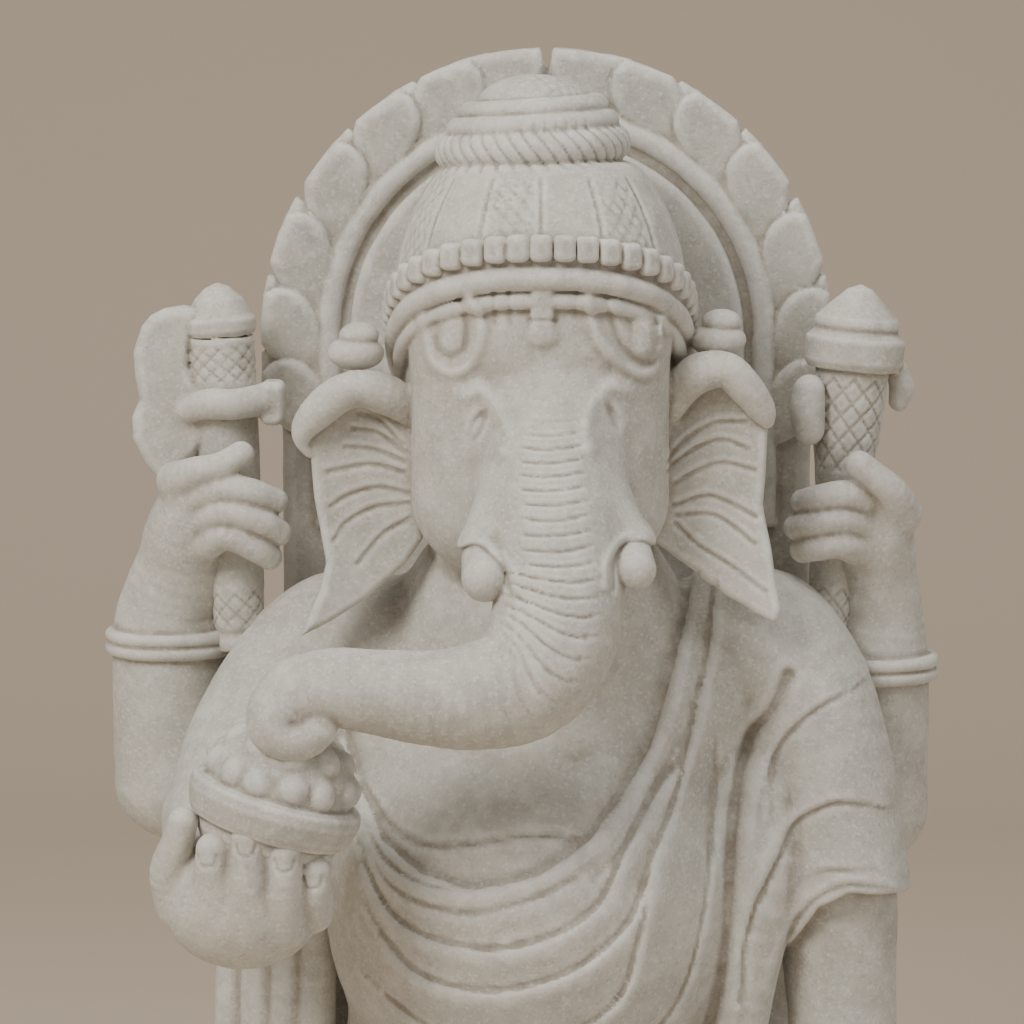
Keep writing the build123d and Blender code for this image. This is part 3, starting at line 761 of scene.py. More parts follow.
for name, x, z, r in (("rear_right_bangle", -235.5, 543, 37), ("rear_left_bangle", 208, 527, 37.5)):
    bangle = figure.piece(name, 1, 1.2)
    bangle.add(roll((x, 39, z - 4), (r, r), 4.3)).add(roll((x, 39, z + 4.2), (r, r), 4.3))

# Wrinkles round the front of the trunk
spine = smooth_path(trunk_path, 6).astype(F)
spans = np.linalg.norm(np.diff(spine[:, :3], axis=0), axis=1)
spine_length = np.concatenate([[0], np.cumsum(spans)]).astype(F)


def trunk_wrinkles(p):
    """Cuts across the front of the trunk, which bend with it and fade out near its ends."""
    best = np.full(len(p), 1e9, F)
    run, lateral, radius = (np.zeros(len(p), F) for _ in range(3))
    for i, (a, b) in enumerate(zip(spine, spine[1:])):
        along = b[:3] - a[:3]
        length = np.linalg.norm(along)
        t = np.clip((p - a[:3]) @ (along / length ** 2), 0, 1)
        off = p - a[:3] - t[:, None] * along
        d = size_of(off)
        near = d < best
        flat = np.array([along[2], 0, -along[0]], F) / math.hypot(along[0], along[2])
        best = np.where(near, d, best)
        run = np.where(near, spine_length[i] + t * length, run)
        lateral = np.where(near, off @ flat, lateral)
        radius = np.where(near, a[3] + (b[3] - a[3]) * t, radius)
    side = lateral / radius
    wave = np.abs(np.sin(math.pi * (run + 17 * side * side) / 9.0))
    cut = np.exp(-(wave / 0.30) ** 2)
    ends = np.clip((run - 56) / 20, 0, 1) * np.clip((238 - run) / 60, 0, 1)
    reach = np.where(run > 150, np.clip((0.86 - np.abs(side - 0.15)) / 0.4, 0, 1),
                     np.clip((0.58 - np.abs(side)) / 0.20, 0, 1))
    on_trunk = np.clip((radius + 8 - best) / 4, 0, 1)
    return (-1.45 * cut + 0.5 * (1 - cut)) * ends * reach * on_trunk


figure.press((trunk_wrinkles, np.array([-90, -245, 505], F), np.array([60, -120, 705], F)))

# Face: hoods over the eyes, coiled temples, the sheaths' lips
for side, points in ((-1, [(-47, 714), (-38, 717), (-29, 709), (-24, 696), (-26, 684)]),
                     (1, [(47, 717), (38, 719), (28, 711), (23, 698), (25, 686)])):
    figure.press(crease(points, 5.5, -2.4, -170, -90),
                 crease([(x + side, z + 10) for x, z in points[:3]], 5, 0.9, -170, -90))
for points, width, height in (
        ([(-45, 770), (-39, 760), (-39, 746), (-45, 731), (-56, 726), (-67, 732), (-71, 744), (-73, 757)],
         3.4, 2.6),
        ([(-50, 768), (-47, 758), (-48, 742), (-56, 736), (-63, 742), (-64, 754)], 2.4, -1.3),
        ([(25, 770), (29, 751), (39, 736), (50, 728), (60, 725), (68, 731), (71, 742), (69, 757)], 3.6,
         2.6),
        ([(35, 770), (39, 754), (46, 740), (57, 733), (64, 741), (64, 756)], 2.4, -1.3)):
    figure.press(crease(points, width, -height, -170, -80))
figure.press(
    crease([(-50, 624), (-47, 628), (-39, 630), (-30, 624), (-24, 616), (-21, 606)], 1.4, 2.0, -230, -140),
    crease([(-50, 629), (-46, 633), (-38, 634), (-28, 629), (-20, 619), (-17, 608)], 2.6, -1.6, -230, -140),
    crease([(38, 608), (38, 620), (43, 629), (51, 632), (59, 630), (64, 622)], 1.4, 1.8, -230, -140),
    crease([(34, 610), (34, 623), (41, 633), (51, 637), (61, 635), (67, 627)], 2.6, -1.6, -230, -140),
    crease([(-25, 729), (0, 733), (24, 730)], 8, 1.2, -170, -90),
    crease([(-60, 700), (-64, 672), (-56, 644)], 10, 1.8, -170, -80),
    crease([(64, 704), (69, 674), (66, 648)], 10, 1.8, -170, -80),
    crease([(-21, 756), (-22, 774)], 1.3, 0.9, -170, -100),
    crease([(-30, 756), (-31, 774)], 1.3, 0.9, -170, -100),
    crease([(16, 760), (17, 774)], 1.3, 0.6, -170, -100),
    crease([(-10, 758), (6, 758)], 1.2, 1.2, -170, -100),
)

# Engraving of the cap, the rolls and the finial


def grooves(value, sharp):
    """1 in narrow grooves where value is a whole number, 0 between them."""
    return np.exp(-(np.sin(math.pi * value) / F(sharp)) ** 2)


def cap_seams(p):
    """The cap's panels, with every other one hatched."""
    x, y, z = p[:, 0] + 3, p[:, 1] + 40, p[:, 2]
    turn, span = np.arctan2(x, -y), math.radians(22.2)
    panel, reach = np.floor(turn / span), np.hypot(x, y)
    off = (turn / span - np.round(turn / span)) * span * reach
    body = np.clip((841 - z) / 4, 0, 1) * np.clip((z - 757 - 0.5 * (-p[:, 1] - 40)) / 4, 0, 1)
    u, v = (turn - (panel + 0.5) * span) * reach, z + 0.3 * reach
    inner = np.clip((span * reach / 2 - 3.5 - np.abs(u)) / 1.5, 0, 1) * (panel % 2 == 1)
    crossed = np.maximum(grooves((v + 1.25 * u) / 9.2, 0.24), grooves((v - 0.9 * u) / 9.2, 0.24))
    slanted = np.maximum(grooves((v + 0.8 * u) / 7.5, 0.22), grooves((v - 3.2 * u) / 26, 0.10))
    some = np.where(panel % 4 == 1, crossed, slanted)
    return -1.5 * np.exp(-(off / 1.05) ** 2) * body - 0.95 * some * inner * body


def rope_twist(p):
    """Slanting grooves round the rope roll."""
    x, y, z = p[:, 0] + 7.5, p[:, 1] + 42, p[:, 2] - 855.5
    turn = np.arctan2(x, -y)
    out = np.clip((np.hypot(x, y) - 49) / 4, 0, 1) * np.clip((12.5 - np.abs(z - 0.06 * x)) / 3, 0, 1)
    return -1.5 * grooves((turn * 19 + z * 0.26) / math.pi, 0.34) * out


def dome_lines(p):
    """Fine crossed lines on one side of the finial."""
    x, y = p[:, 0] + 6, p[:, 1] + 42
    fine = np.maximum(grooves((x + 0.6 * y) / 7.5, 0.2), grooves((x - 0.9 * y) / 9, 0.2))
    return -0.7 * fine * np.clip((p[:, 2] - 884) / 3, 0, 1) * np.clip((x + 6) / 8, 0, 1)


def notched_roll(p):
    """Notches in three stretches of the upper roll."""
    x, y, z = p[:, 0] + 7.5, p[:, 1] + 42, p[:, 2] - 868
    turn = np.arctan2(x, -y)
    some = np.clip((np.sin(turn * 3 + 0.6) - 0.1) * 3, 0, 1)
    return -0.9 * grooves(turn * 24 / math.pi, 0.3) * some * np.clip((5 - np.abs(z - 0.06 * x)) / 2, 0, 1)


figure.press(
    (cap_seams, np.array([-100, -155, 740], F), np.array([95, 70, 846], F)),
    (rope_twist, np.array([-72, -110, 838], F), np.array([58, 24, 872], F)),
    (dome_lines, np.array([-45, -82, 880], F), np.array([35, 0, 905], F)),
    (notched_roll, np.array([-65, -98, 858], F), np.array([50, 14, 876], F)),
)

# Folds of the shawl, each line running down from the left shoulder and across to the right
folds = [
    ([(91, 590), (82, 558), (77, 536), (68, 509), (49, 474), (27, 450), (-12, 429), (-45, 421), (-78, 424),
      (-98, 434), (-108, 452)], 2.4, 8, 0.5),
    ([(104, 588), (99, 552), (90, 514), (80, 488), (64, 468), (52, 450), (38, 436)], 1.9, 8, 1.0),
    ([(18, 430), (-4, 419), (-30, 411), (-49, 408), (-78, 412), (-96, 422), (-106, 438)], 1.2, 9, 0.7),
    ([(74, 487), (60, 466), (49, 448), (41, 431), (31, 413), (9, 398), (-25, 388), (-56, 389), (-82, 396),
      (-98, 409), (-109, 430)], 2.8, 11, 1.3),
    ([(89, 512), (84, 489), (76, 462), (65, 441), (59, 424), (50, 402), (31, 384), (10, 372), (-25, 362),
      (-56, 363), (-80, 371), (-98, 390)], 3.0, 13, 1.3),
    ([(62, 430), (59, 406), (54, 385), (45, 356), (20, 336), (-20, 324), (-60, 328), (-96, 350)], 2.4, 14,
     0.9),
    ([(104, 480), (100, 430), (94, 390), (82, 350), (60, 322), (30, 306)], 1.8, 14, 0.7),
    ([(139, 350), (145, 370), (156, 394), (169, 407), (185, 412), (208, 408)], 1.8, 6, 0.3),
    ([(160, 417), (173, 421), (200, 420)], 1.0, 6, 0.6),
    ([(118, 340), (120, 372), (125, 395), (133, 413), (142, 430), (150, 446), (163, 456), (178, 461),
      (198, 458)], 2.6, 9, 1.3),
    ([(136, 466), (137, 480), (142, 494), (152, 507), (166, 518), (184, 526)], 1.8, 11, 0.8),
    ([(128, 452), (132, 472), (140, 492)], 1.0, 9, 0.5),
]
for points, lift, wide, groove in folds:
    figure.press(fold(points, lift, wide, groove, -210, 24))
figure.press(
    crease([(148, 536), (138, 514), (125, 497), (118, 471), (114, 441), (112, 410), (110, 376), (104, 335),
            (94, 300)], 4.4, 6.0, -200, 20, 3),
    crease([(-110, 468), (-94, 453), (-71, 444), (-39, 448), (-8, 453), (20, 449)], 1.8, 1.3, -200, -40, 3),
    crease([(-60, 500), (-20, 490), (20, 494)], 9, 1.4, -200, -40, 3),
)

# Nails on the front right hand's fingers
for x, z in ((-194, 462), (-171.4, 469), (-149.4, 460), (-134, 448)):
    figure.press(crease([(x - 5.4, z - 3), (x - 3.4, z - 9), (x + 3.4, z - 9), (x + 5.4, z - 3)], 0.9, 0.9,
                        -245, -205, 3))

# Back slab with its halo
halo = Carving()
HALO = (2.0, spot("back_slab", 1, 1, 1)[2] - 170.0)
seat_top = spot("seat_slab", 1, 1, 1)[2]


def arch_distance(p, radius):
    x, z = p[:, 0] - HALO[0], p[:, 2] - HALO[1]
    return np.where(z > 0, np.hypot(x, z), np.abs(x)) - radius


def arch(radius, low, front, back, edge):
    def distance(p):
        flat = np.maximum(arch_distance(p, radius), low - p[:, 2])
        return slab_of(flat, np.abs(p[:, 1] - (front + back) / 2) - (back - front) / 2, edge)
    low_corner, high_corner = (HALO[0] - radius, front, low), (HALO[0] + radius, back, HALO[1] + radius)
    return distance, np.array(low_corner, F), np.array(high_corner, F)


halo.piece("back_slab", 1.5, 2.8).add(arch(168, seat_top, SLAB_FRONT, SLAB_FRONT + 42, 5))
halo.piece("halo_panel", 1.5, 2.0).add(arch(125, seat_top + 398, SLAB_FRONT - 5.5, SLAB_FRONT + 2, 3.5))


def ring_distance(p):
    return np.sqrt(arch_distance(p, 138) ** 2 + ((p[:, 1] - SLAB_FRONT) * F(1.15)) ** 2) - 8


ring = halo.piece("halo_ring", 1.5, 1.7)
ring.add((ring_distance, np.array([HALO[0] - 147, SLAB_FRONT - 9, 560], F),
          np.array([HALO[0] + 147, SLAB_FRONT + 9, HALO[1] + 147], F)))
ring.cut(block((0, 66, 500), (300, 60, 112), 1))


def petal(turn, lean, reach, length, wide, front, thick):
    """A flat tongue from the ring out to the rim: thin at its foot, with a broad, round, thicker end."""
    a, b = math.radians(turn), math.radians(turn + lean)
    out, along = np.array([math.sin(a), math.cos(a)]), np.array([math.sin(b), math.cos(b)])
    tip = np.array(HALO) + out * reach
    foot = tip - along * length

    def distance(p):
        x, z = p[:, 0] - F(foot[0]), p[:, 2] - F(foot[1])
        run = (x * F(along[0]) + z * F(along[1])) / F(length)
        side = np.abs(x * F(along[1]) - z * F(along[0]))
        grow = np.clip(run, 0, 1)
        end = np.clip((grow - 0.70) / 0.30, 0, 1)
        half = F(wide) * np.sqrt(1 - end ** 2 * F(0.995))
        half = half * (0.55 + 0.45 * np.sin(np.clip(grow / 0.7, 0, 1) * math.pi / 2))
        flat = np.maximum(side - half, np.maximum(run - 1, -run) * F(length))
        flat = np.maximum(flat, arch_distance(p, 181))
        inside = np.clip(-flat / F(7), 0, 1)
        swell = F(thick) * (0.25 + 0.75 * np.sqrt(1 - (1 - inside) ** 2))
        swell = swell * (0.35 + 0.65 * np.clip(grow * 1.35, 0, 1))
        return np.maximum(np.maximum(flat * 0.8, (F(front) - swell - p[:, 1]) * 0.85),
                          p[:, 1] - F(front) - 16)

    low = np.array([min(foot[0], tip[0]) - wide, front - thick - 2, min(foot[1], tip[1]) - wide], F)
    high = np.array([max(foot[0], tip[0]) + wide, front + 17, max(foot[1], tip[1]) + wide], F)
    return distance, low, high


petals, tips = halo.piece("rim_petals", 1.5, 1.35), halo.piece("rim_tips", 1.5, 1.5)
for side in (-1, 1):
    for i, turn in enumerate((1.2, 15.4, 31.0, 47.1, 64.5, 81.0, 96.5)):
        lean = -side * (50 if i else 68)
        petals.add(petal(side * turn, lean, 179.5, 64, 20.5, SLAB_FRONT + 1 - i * 0.35, 7.5), 0.5)
        if i:
            tips.add(petal(side * (turn - 3.0), lean, 182, 34, 8, SLAB_FRONT + 4, 7), 0.5)
inner_groove = [(HALO[0] + 128 * math.sin(a), HALO[1] + 128 * math.cos(a))
                for a in np.linspace(-1.55, 1.55, 30)]
halo.press(crease(inner_groove, 3.4, 1.2, 40, 80, 1))

# Base
base = Carving()
PLINTH_CORNER = 60


def ground(inset, low, high, edge):
    """A round-cornered course of the pedestal, as wide as the plinth less inset on each side."""
    half = (np.array(plinth_high) - np.array(plinth_low))[:2] * 500 - inset
    cy = spot("plinth")[1]
    round_to = PLINTH_CORNER - inset

    def distance(p):
        q = np.abs(np.stack([p[:, 0], p[:, 1] - cy], 1)) - (half - round_to).astype(F)
        flat = size_of(np.maximum(q, 0)) + np.minimum(q.max(1), 0) - F(round_to)
        return slab_of(flat, np.abs(p[:, 2] - (low + high) / 2) - (high - low) / 2, edge)

    low_corner, high_corner = (-half[0], cy - half[1], low), (half[0], cy + half[1], high)
    return distance, np.array(low_corner, F), np.array(high_corner, F)


plinth_top, drum_top = spot("plinth", 1, 1, 1)[2], spot("lotus_drum", 1, 1, 1)[2]
foundation = base.piece("plinth", 0.8, 3.3)
foundation.add(ground(0, 0, plinth_top, 4)).cut(ground(-10, plinth_top - 10, plinth_top - 7, 1.2))
base.piece("lotus_drum", 0.8, 2.6).add(ground(34, plinth_top, drum_top, 1.5))
base.piece("seat_slab", 0.8, 2.4).add(ground(18, drum_top, seat_top, 6))
leaves = base.piece("lotus_petals", 0.8, 2.1)
half_x, half_y, corner = 246.0, 151.0, 26.0
loop_length = 4 * (half_x + half_y - 2 * corner) + 2 * math.pi * corner
cy = spot("plinth")[1]


def round_the_drum(run):
    """Where a run along the drum's outline comes to, and the way it faces, from the middle of the front."""
    bend, across, deep = math.pi / 2 * corner, half_x - corner, 2 * (half_y - corner)
    x, y, heading = 0.0, -half_y, 0.0
    for i, length in enumerate((across, bend, deep, bend, 2 * across, bend, deep, bend, across)):
        step = min(run, length)
        straight = i % 2 == 0
        if straight:
            x += step * math.cos(heading)
            y += step * math.sin(heading)
        else:
            turn = step / corner
            x += corner * (math.sin(heading + turn) - math.sin(heading))
            y += corner * (math.cos(heading) - math.cos(heading + turn))
            heading += turn
        run -= step
        if run <= 0:
            break
    return x, y, heading


LEAVES = 40
for i in range(LEAVES):
    x, y, heading = round_the_drum((i + 0.5) * loop_length / LEAVES)
    nx, ny = math.sin(heading), -math.cos(heading)
    leaf = [(x + nx * out, y + cy + ny * out, plinth_top + up, radius)
            for out, up, radius in ((1, 6, 9), (6, 20, 14.5), (3, 34, 9), (2, 43, 2.5))]
    leaves.add(limb(*leaf, steps=2), 0.6)
leaves.cut(ground(-40, -20, plinth_top + 0.2, 0.2)).cut(ground(-40, drum_top - 0.3, drum_top + 30, 0.2))

# Axe: the handle leans a little, like its CAD solid
axe = Carving()
axe_foot, axe_top = (-190.5, 24, 540), (-201.5, 24, 737)
shaft = axe.piece("axe_shaft", 1, 1.3)
shaft.add(turned(axe_foot, axe_top, [(0.1, 0), (15, 0), (16, 6), (14, 12), (16, 16), (17.5, 40), (18.5, 90),
                                     (20, 130), (21, 196), (0.1, 196)]))
blade = axe.piece("axe_head", 2, 1.3)
blade_outline = [(-212, 754), (-224, 756), (-236, 754), (-244, 750), (-250, 743), (-255, 727), (-254, 712),
                 (-252, 698), (-256.5, 687), (-256, 673), (-248, 658), (-236, 644), (-229, 653),
                 (-217, 663), (-206, 680), (-200, 690), (-200, 706), (-211, 706), (-216, 710), (-221, 719),
                 (-220, 731), (-217, 740)]
blade.add(plate(blade_outline, 10, 30, 6))
blade.add(limb((-220, 10, 692, 8), (-208, 1, 696, 9.5), (-192, -1, 696, 9.6), (-176, 6, 698, 10)), 5)
blade.add(block((-168.5, 14, 696), (7.5, 14, 13.5), 5), 3)
knob = axe.piece("axe_cap", 1, 1.2)
knob.add(turned(axe_top, (-203.5, 24, 772), [(0.1, 0), (20, 0), (22.5, 3), (22.5, 10), (20, 13), (18.5, 16),
                                             (15, 23), (8, 30), (0.1, 33)]))

# Mace
mace = Carving()
mace_foot, mace_top = (177, 24, 541), (192.5, 24, 718)
handle = mace.piece("mace_handle", 1, 1.3)
handle.add(turned(mace_foot, mace_top, [(0.1, 0), (6, 3), (14, 16), (15, 60), (16, 100), (21, 132),
                                        (23, 178), (0.1, 178)]))
collar = mace.piece("mace_cap", 1, 1.3)
collar.add(turned(mace_top, (196.8, 24, 767), [(0.1, -2), (28, -2), (31, 3), (31, 17), (27, 21), (25.5, 23),
                                               (27, 26), (26, 30), (8, 48), (0.1, 51)]))
lobes = mace.piece("mace_lobes", 2, 1.3)
lobes.add(limb((164, 6, 704, 10), (163, 5, 692, 11), (164, 6, 680, 10)))
lobes.add(limb((221, 34, 714, 7), (224, 34, 704, 8), (222, 33, 695, 6.5)))


def hatched(foot, top, low, high, pitch, count, depth, reach=25):
    """Crossing spiral grooves round a shaft, between two heights along it and within reach of its axis."""
    foot, top = np.array(foot, F), np.array(top, F)
    axis = (top - foot) / np.linalg.norm(top - foot)
    side = np.cross(axis, np.array([0, 1, 0], F))
    side /= np.linalg.norm(side)
    fore = np.cross(axis, side)

    def raised(p):
        q = p - foot
        h, turn = q @ axis, np.arctan2(q @ side, -(q @ fore))
        ways = [np.abs(np.sin(math.pi * (h / pitch + way * turn * count / math.tau))) for way in (1, -1)]
        from_axis = size_of(q - h[:, None] * axis.astype(F))
        within = np.clip((h - low) / 2, 0, 1) * np.clip((high - h) / 2, 0, 1)
        within = within * np.clip((reach - from_axis) / 2, 0, 1)
        return -F(depth) * np.maximum.reduce([np.exp(-(way / 0.24) ** 2) for way in ways]) * within

    ends = np.array([foot + axis * low, foot + axis * high])
    return raised, ends.min(0) - 34, ends.max(0) + 34


axe.press(hatched(axe_foot, axe_top, 168, 192, 9.0, 12, 1.2),
          hatched(axe_foot, axe_top, 14, 38, 12, 8, 1.0))
mace.press(hatched(mace_foot, mace_top, 112, 172, 15.5, 10, 1.6),
           hatched(mace_foot, mace_top, 4, 40, 13, 7, 1.3))

# Bowl of sweets
bowl = Carving()
tilt = math.radians(16.7)
axis, across = np.array([math.sin(tilt), 0, math.cos(tilt)]), np.array([math.cos(tilt), 0, -math.sin(tilt)])
bowl_foot = np.array([-158, -185, 480])
dish = bowl.piece("sweet_bowl", 1.5, 1.2)
dish.add(turned(bowl_foot, bowl_foot + axis * 10,
                [(0.1, -42), (20, -40), (35, -30), (41.5, -20), (42.5, -14), (46.5, -13), (49, -8),
                 (51.5, 2), (50.5, 8), (46, 10.5), (0.1, 10.5)]))
heap = bowl.piece("sweets", 1.5, 1.2)
heap.add(turned(bowl_foot, bowl_foot + axis * 10, [(0.1, 0), (41, 0), (43.5, 14), (42, 26), (34, 39),
                                                   (20, 46), (0.1, 48)]))
dots = np.random.default_rng(11)
for count, high_up, reach, size, first in ((13, 19, 37, 10.4, 0.2), (9, 34, 29, 10.6, 0.9),
                                           (5, 43, 15, 10.6, 0.4)):
    for i in range(count):
        turn = math.tau * (i + first + dots.uniform(-0.12, 0.12)) / count
        place = bowl_foot + axis * (high_up + dots.uniform(-1, 1)) + across * reach * math.cos(turn)
        place = place + np.array([0, reach * math.sin(turn), 0])
        radii = size * dots.uniform(0.93, 1.06, 3)
        heap.add(ell(place, tuple(radii), tuple(dots.uniform(-40, 40, 3))), 1.6)


# Meshes, cut loose from crumbs and slivers


def shaped(carving, name):
    clay = carving.pieces[name]
    low, high = clay.box()
    points, quads = sculpt(carving.field(name), low - 3, high + 3, clay.voxel * COARSER)
    root = np.arange(len(points))
    edges = np.concatenate([quads[:, [i, (i + 1) % 4]] for i in range(4)])
    while True:
        low_end = np.minimum(root[edges[:, 0]], root[edges[:, 1]])
        before = root.copy()
        np.minimum.at(root, edges[:, 0], low_end)
        np.minimum.at(root, edges[:, 1], low_end)
        root = root[root]
        if (root == before).all():
            break
    counts = np.bincount(root, minlength=len(points))
    keep = counts[root] > SMALLEST_CRUMB / COARSER
    index = np.cumsum(keep) - 1
    quads = index[quads[keep[quads[:, 0]]]]
    points = points[keep]
    near, far = hollows(points, quads)
    return name, points, quads, {"hollow_near": near, "hollow_far": far}


CARVINGS = (figure, halo, base, axe, mace, bowl)
jobs = [(carving, name) for carving in CARVINGS for name in carving.pieces]
jobs.sort(key=lambda job: -np.prod(job[0].pieces[job[1]].box()[1] - job[0].pieces[job[1]].box()[0]))
with ThreadPoolExecutor(4) as pool:
    meshes = list(pool.map(lambda job: shaped(*job), jobs))

# Marble: warm and cool clouds, fine crystals, brown grime plus painted shade darkening the hollows, worn
# pale edges


def marble():
    material = bpy.data.materials.new("weathered_marble")
    material.use_nodes = True
    nodes, links = material.node_tree.nodes, material.node_tree.links
    shader = nodes["Principled BSDF"]

    def node(kind, **settings):
        made = nodes.new(kind)
        for key, value in settings.items():
            setattr(made, key, value)
        return made

    def value_of(source, socket, value):
        if isinstance(value, (int, float)):
            source.inputs[socket].default_value = value
        else:
            links.new(value, source.inputs[socket])

    place = node("ShaderNodeTexCoord").outputs["Object"]

    def noise(scale, detail, rough, distortion=0.0):
        made = node("ShaderNodeTexNoise")
        links.new(place, made.inputs["Vector"])
        made.inputs["Scale"].default_value = scale
        made.inputs["Detail"].default_value = detail
        made.inputs["Roughness"].default_value = rough
        made.inputs["Distortion"].default_value = distortion
        return made.outputs["Fac"]

    def ramp(source, low, high, to_low=0.0, to_high=1.0):
        made = node("ShaderNodeMapRange", clamp=True)
        links.new(source, made.inputs["Value"])
        limits = {"From Min": low, "From Max": high, "To Min": to_low, "To Max": to_high}
        for socket, value in limits.items():
            made.inputs[socket].default_value = value
        return made.outputs["Result"]

    def maths(operation, a, b=0.0, clamp=False):
        made = node("ShaderNodeMath", operation=operation, use_clamp=clamp)
        value_of(made, 0, a)
        value_of(made, 1, b)
        return made.outputs[0]

    def mixed(share, a, b):
        made = node("ShaderNodeMix", data_type="RGBA")
        value_of(made, 0, share)
        for socket, value in ((6, a), (7, b)):
            if isinstance(value, tuple):
                made.inputs[socket].default_value = (*value, 1)
            else:
                links.new(value, made.inputs[socket])
        return made.outputs[2]

    def layer(name):
        return node("ShaderNodeAttribute", attribute_name=name).outputs["Fac"]

    def cells(scale):
        made = node("ShaderNodeTexVoronoi")
        links.new(place, made.inputs["Vector"])
        made.inputs["Scale"].default_value = scale
        return made.outputs

    crystals, pores = cells(560), cells(1300)
    near, far = layer("hollow_near"), layer("hollow_far")
    clouds, patches, speckle = noise(9, 5, 0.6, 0.6), noise(55, 5, 0.65, 0.3), noise(900, 2, 0.7)

    stone = mixed(ramp(clouds, 0.38, 0.62), (0.455, 0.435, 0.385), (0.55, 0.525, 0.465))
    stone = mixed(ramp(patches, 0.40, 0.68, 0, 0.75), stone, (0.655, 0.63, 0.56))
    grain = node("ShaderNodeSeparateColor")
    links.new(crystals["Color"], grain.inputs["Color"])
    stone = mixed(ramp(grain.outputs[0], 0.72, 1.0, 0, 0.45), stone, (0.80, 0.79, 0.76))
    stone = mixed(ramp(grain.outputs[1], 0.78, 1.0, 0, 0.36), stone, (0.34, 0.32, 0.29))
    stone = mixed(ramp(speckle, 0.35, 0.65, 0, 0.22), stone, (0.74, 0.72, 0.68))
    edge = ramp(near, -0.03, -0.22)
    edge = maths("MULTIPLY", edge, ramp(patches, 0.3, 0.6, 0.35, 0.9))
    stone = mixed(maths("MULTIPLY", edge, 0.55), stone, (0.84, 0.83, 0.79))
    # Painted shade with grime: fine grooves (hollow_near) and broad hollows (hollow_far) are darkened
    # toward dark brown, for dirt and for the shade that falls in them
    groove = ramp(near, 0.03, 0.30)
    dip = ramp(far, 0.10, 1.15)
    streaks = ramp(noise(38, 6, 0.7, 1.2), 0.36, 0.66, 0.30, 1.0)
    grime_and_painted_shade = maths("MULTIPLY", maths("MAXIMUM", groove, maths("MULTIPLY", dip, 0.85)), streaks, True)
    # The dark brown mixed in here is partly grime and partly painted shade in the hollows
    stone = mixed(maths("MULTIPLY", grime_and_painted_shade, 0.72), stone, (0.215, 0.168, 0.118))
    blotches, specks = ramp(noise(16, 6, 0.7, 1.6), 0.56, 0.74), ramp(noise(150, 3, 0.7), 0.36, 0.7)
    stain = maths("MULTIPLY", blotches, specks, True)
    stone = mixed(maths("MULTIPLY", stain, 0.34), stone, (0.43, 0.345, 0.24))
    links.new(stone, shader.inputs["Base Color"])

    rough = maths("ADD", ramp(patches, 0.3, 0.7, 0.56, 0.72), maths("MULTIPLY", grime_and_painted_shade, 0.16), True)
    links.new(rough, shader.inputs["Roughness"])
    shader.inputs["Specular IOR Level"].default_value = 0.35
    shader.inputs["Subsurface Weight"].default_value = 0.06
    shader.inputs["Subsurface Radius"].default_value = (0.004, 0.0032, 0.0024)

    pits = ramp(pores["Distance"], 0.0, 0.55)
    height = maths("ADD", maths("MULTIPLY", noise(260, 6, 0.75), 0.9), maths("MULTIPLY", pits, 0.22))
    height = maths("ADD", height, maths("MULTIPLY", ramp(grain.outputs[2], 0.86, 0.94), -0.28))
    bump = node("ShaderNodeBump")
    bump.inputs["Strength"].default_value = 0.55
    bump.inputs["Distance"].default_value = 0.0011
    links.new(height, bump.inputs["Height"])
    links.new(bump.outputs["Normal"], shader.inputs["Normal"])
    return material


def steel():
    material = bpy.data.materials.new("dowel_steel")
    material.use_nodes = True
    nodes, links = material.node_tree.nodes, material.node_tree.links
    shader = nodes["Principled BSDF"]
    shader.inputs["Metallic"].default_value = 1.0
    place = nodes.new("ShaderNodeTexCoord")
    stretch = nodes.new("ShaderNodeMapping")
    stretch.inputs["Scale"].default_value = (1, 1, 24)
    brushed = nodes.new("ShaderNodeTexNoise")
    brushed.inputs["Scale"].default_value = 180
    tone, rough = nodes.new("ShaderNodeValToRGB"), nodes.new("ShaderNodeMapRange")
    tone.color_ramp.elements[0].color = (0.42, 0.42, 0.43, 1)
    tone.color_ramp.elements[1].color = (0.62, 0.62, 0.63, 1)
    rough.inputs["To Min"].default_value, rough.inputs["To Max"].default_value = 0.28, 0.5
    links.new(place.outputs["Object"], stretch.inputs["Vector"])
    links.new(stretch.outputs["Vector"], brushed.inputs["Vector"])
    links.new(brushed.outputs["Fac"], tone.inputs["Fac"])
    links.new(brushed.outputs["Fac"], rough.inputs["Value"])
    links.new(tone.outputs["Color"], shader.inputs["Base Color"])
    links.new(rough.outputs["Result"], shader.inputs["Roughness"])
    return material


STONE, STEEL = marble(), steel()
for name, points, quads, layers in meshes:
    mesh = mesh_of(name, points, quads, layers)
    mesh.materials.append(STONE)
    piece = bpy.data.objects.new("carved_" + name, mesh)
    bpy.context.scene.collection.objects.link(piece)
    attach(piece, "root")
    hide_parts(name)
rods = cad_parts["dowels"]
rods.data.materials.clear()
rods.data.materials.append(STEEL)

# Floor, backdrop, light and camera


def plain(name, colour, roughness):
    material = bpy.data.materials.new(name)
    material.use_nodes = True
    shader = material.node_tree.nodes["Principled BSDF"]
    shader.inputs["Base Color"].default_value = (*colour, 1)
    shader.inputs["Roughness"].default_value = roughness
    return material


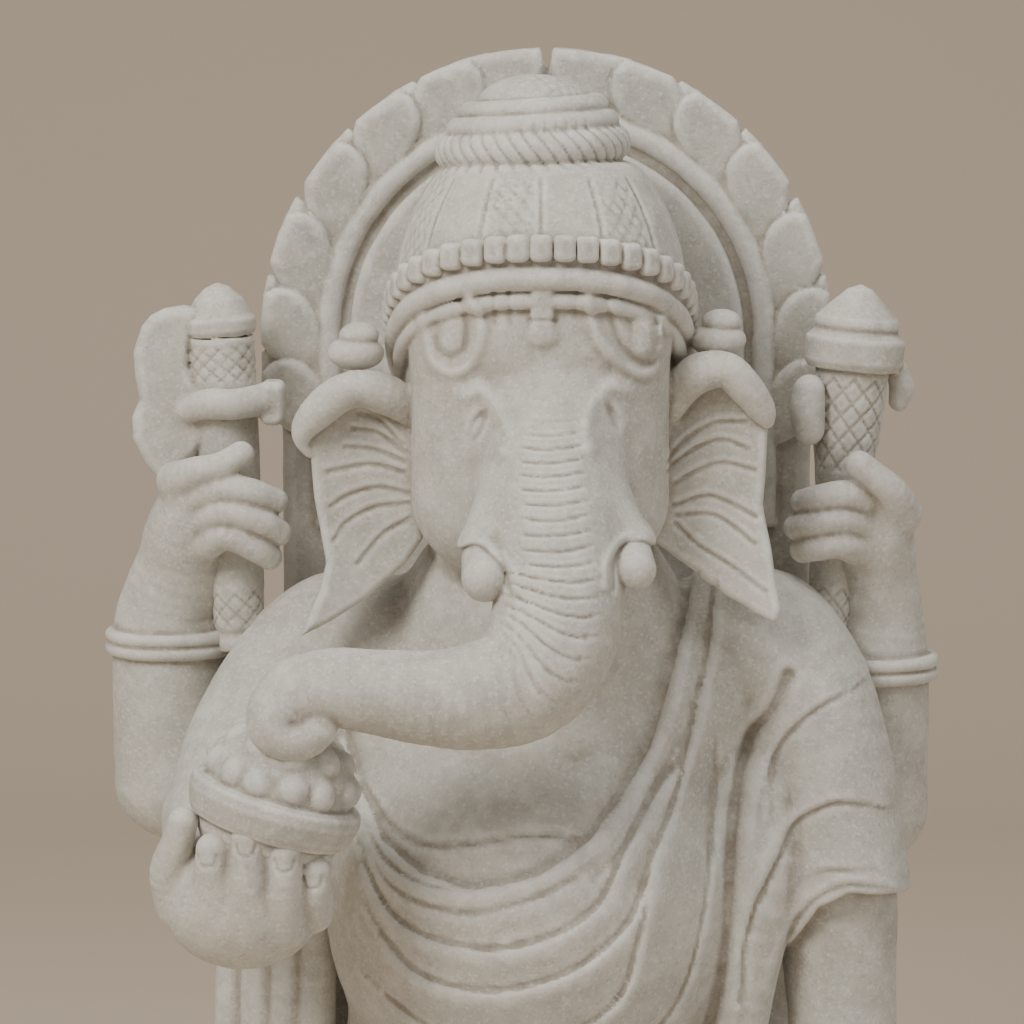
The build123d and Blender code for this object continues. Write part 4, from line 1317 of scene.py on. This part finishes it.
low, high = (np.array(corner) for corner in cad_box)
middle = (low + high) / 2
floor_mesh = bpy.data.meshes.new("floor")
floor_front, floor_back, half_width, rise, curve = -8.0, 2.2, 8.0, 5.0, 1.2
profile = [(floor_front, 0.0), (floor_back, 0.0)]
profile += [(floor_back + curve * math.sin(a), curve - curve * math.cos(a))
            for a in np.linspace(0.1, math.pi / 2, 12)]
profile += [(floor_back + curve, rise)]
corners = [(side * half_width, y, z + low[2]) for y, z in profile for side in (-1, 1)]
faces = [(2 * i, 2 * i + 1, 2 * i + 3, 2 * i + 2) for i in range(len(profile) - 1)]
floor_mesh.from_pydata(corners, [], faces)
floor_mesh.polygons.foreach_set("use_smooth", np.ones(len(faces), bool))
floor = bpy.data.objects.new("floor", floor_mesh)
floor_mesh.materials.append(plain("pale_floor", (0.64, 0.545, 0.43), 0.9))
bpy.context.scene.collection.objects.link(floor)


def lamp(name, place, target, size, power, colour=(1, 1, 1)):
    light = bpy.data.lights.new(name, "AREA")
    light.shape, light.size, light.energy, light.color = "DISK", size, power, colour
    lit = bpy.data.objects.new(name, light)
    lit.location = place
    lit.rotation_euler = (Vector(target) - Vector(place)).to_track_quat("-Z", "Y").to_euler()
    bpy.context.scene.collection.objects.link(lit)


target = (middle[0], middle[1], low[2] + 0.6 * (high[2] - low[2]))
lamp("key", (-1.5, -1.9, 2.5), target, 1.3, 70, (1.0, 0.96, 0.90))
lamp("top", (0.5, -0.5, 3.0), target, 1.6, 26, (1.0, 0.98, 0.95))
lamp("fill", (2.6, -1.6, 1.1), target, 2.2, 10, (0.95, 0.97, 1.0))
world = bpy.data.worlds.new("studio")
world.use_nodes = True
world.node_tree.nodes["Background"].inputs["Color"].default_value = (0.95, 0.93, 0.90, 1)
world.node_tree.nodes["Background"].inputs["Strength"].default_value = 0.36
bpy.context.scene.world = world

camera = bpy.data.objects.new("camera", bpy.data.cameras.new("camera"))
camera.data.lens, camera.data.sensor_width = 142.8, 36
camera.location = (-0.020, -2.440, 0.930)
aim = Vector((-0.020, 0.060, 0.629))
camera.rotation_euler = (aim - camera.location).to_track_quat("-Z", "Y").to_euler()
bpy.context.scene.collection.objects.link(camera)
bpy.context.scene.camera = camera
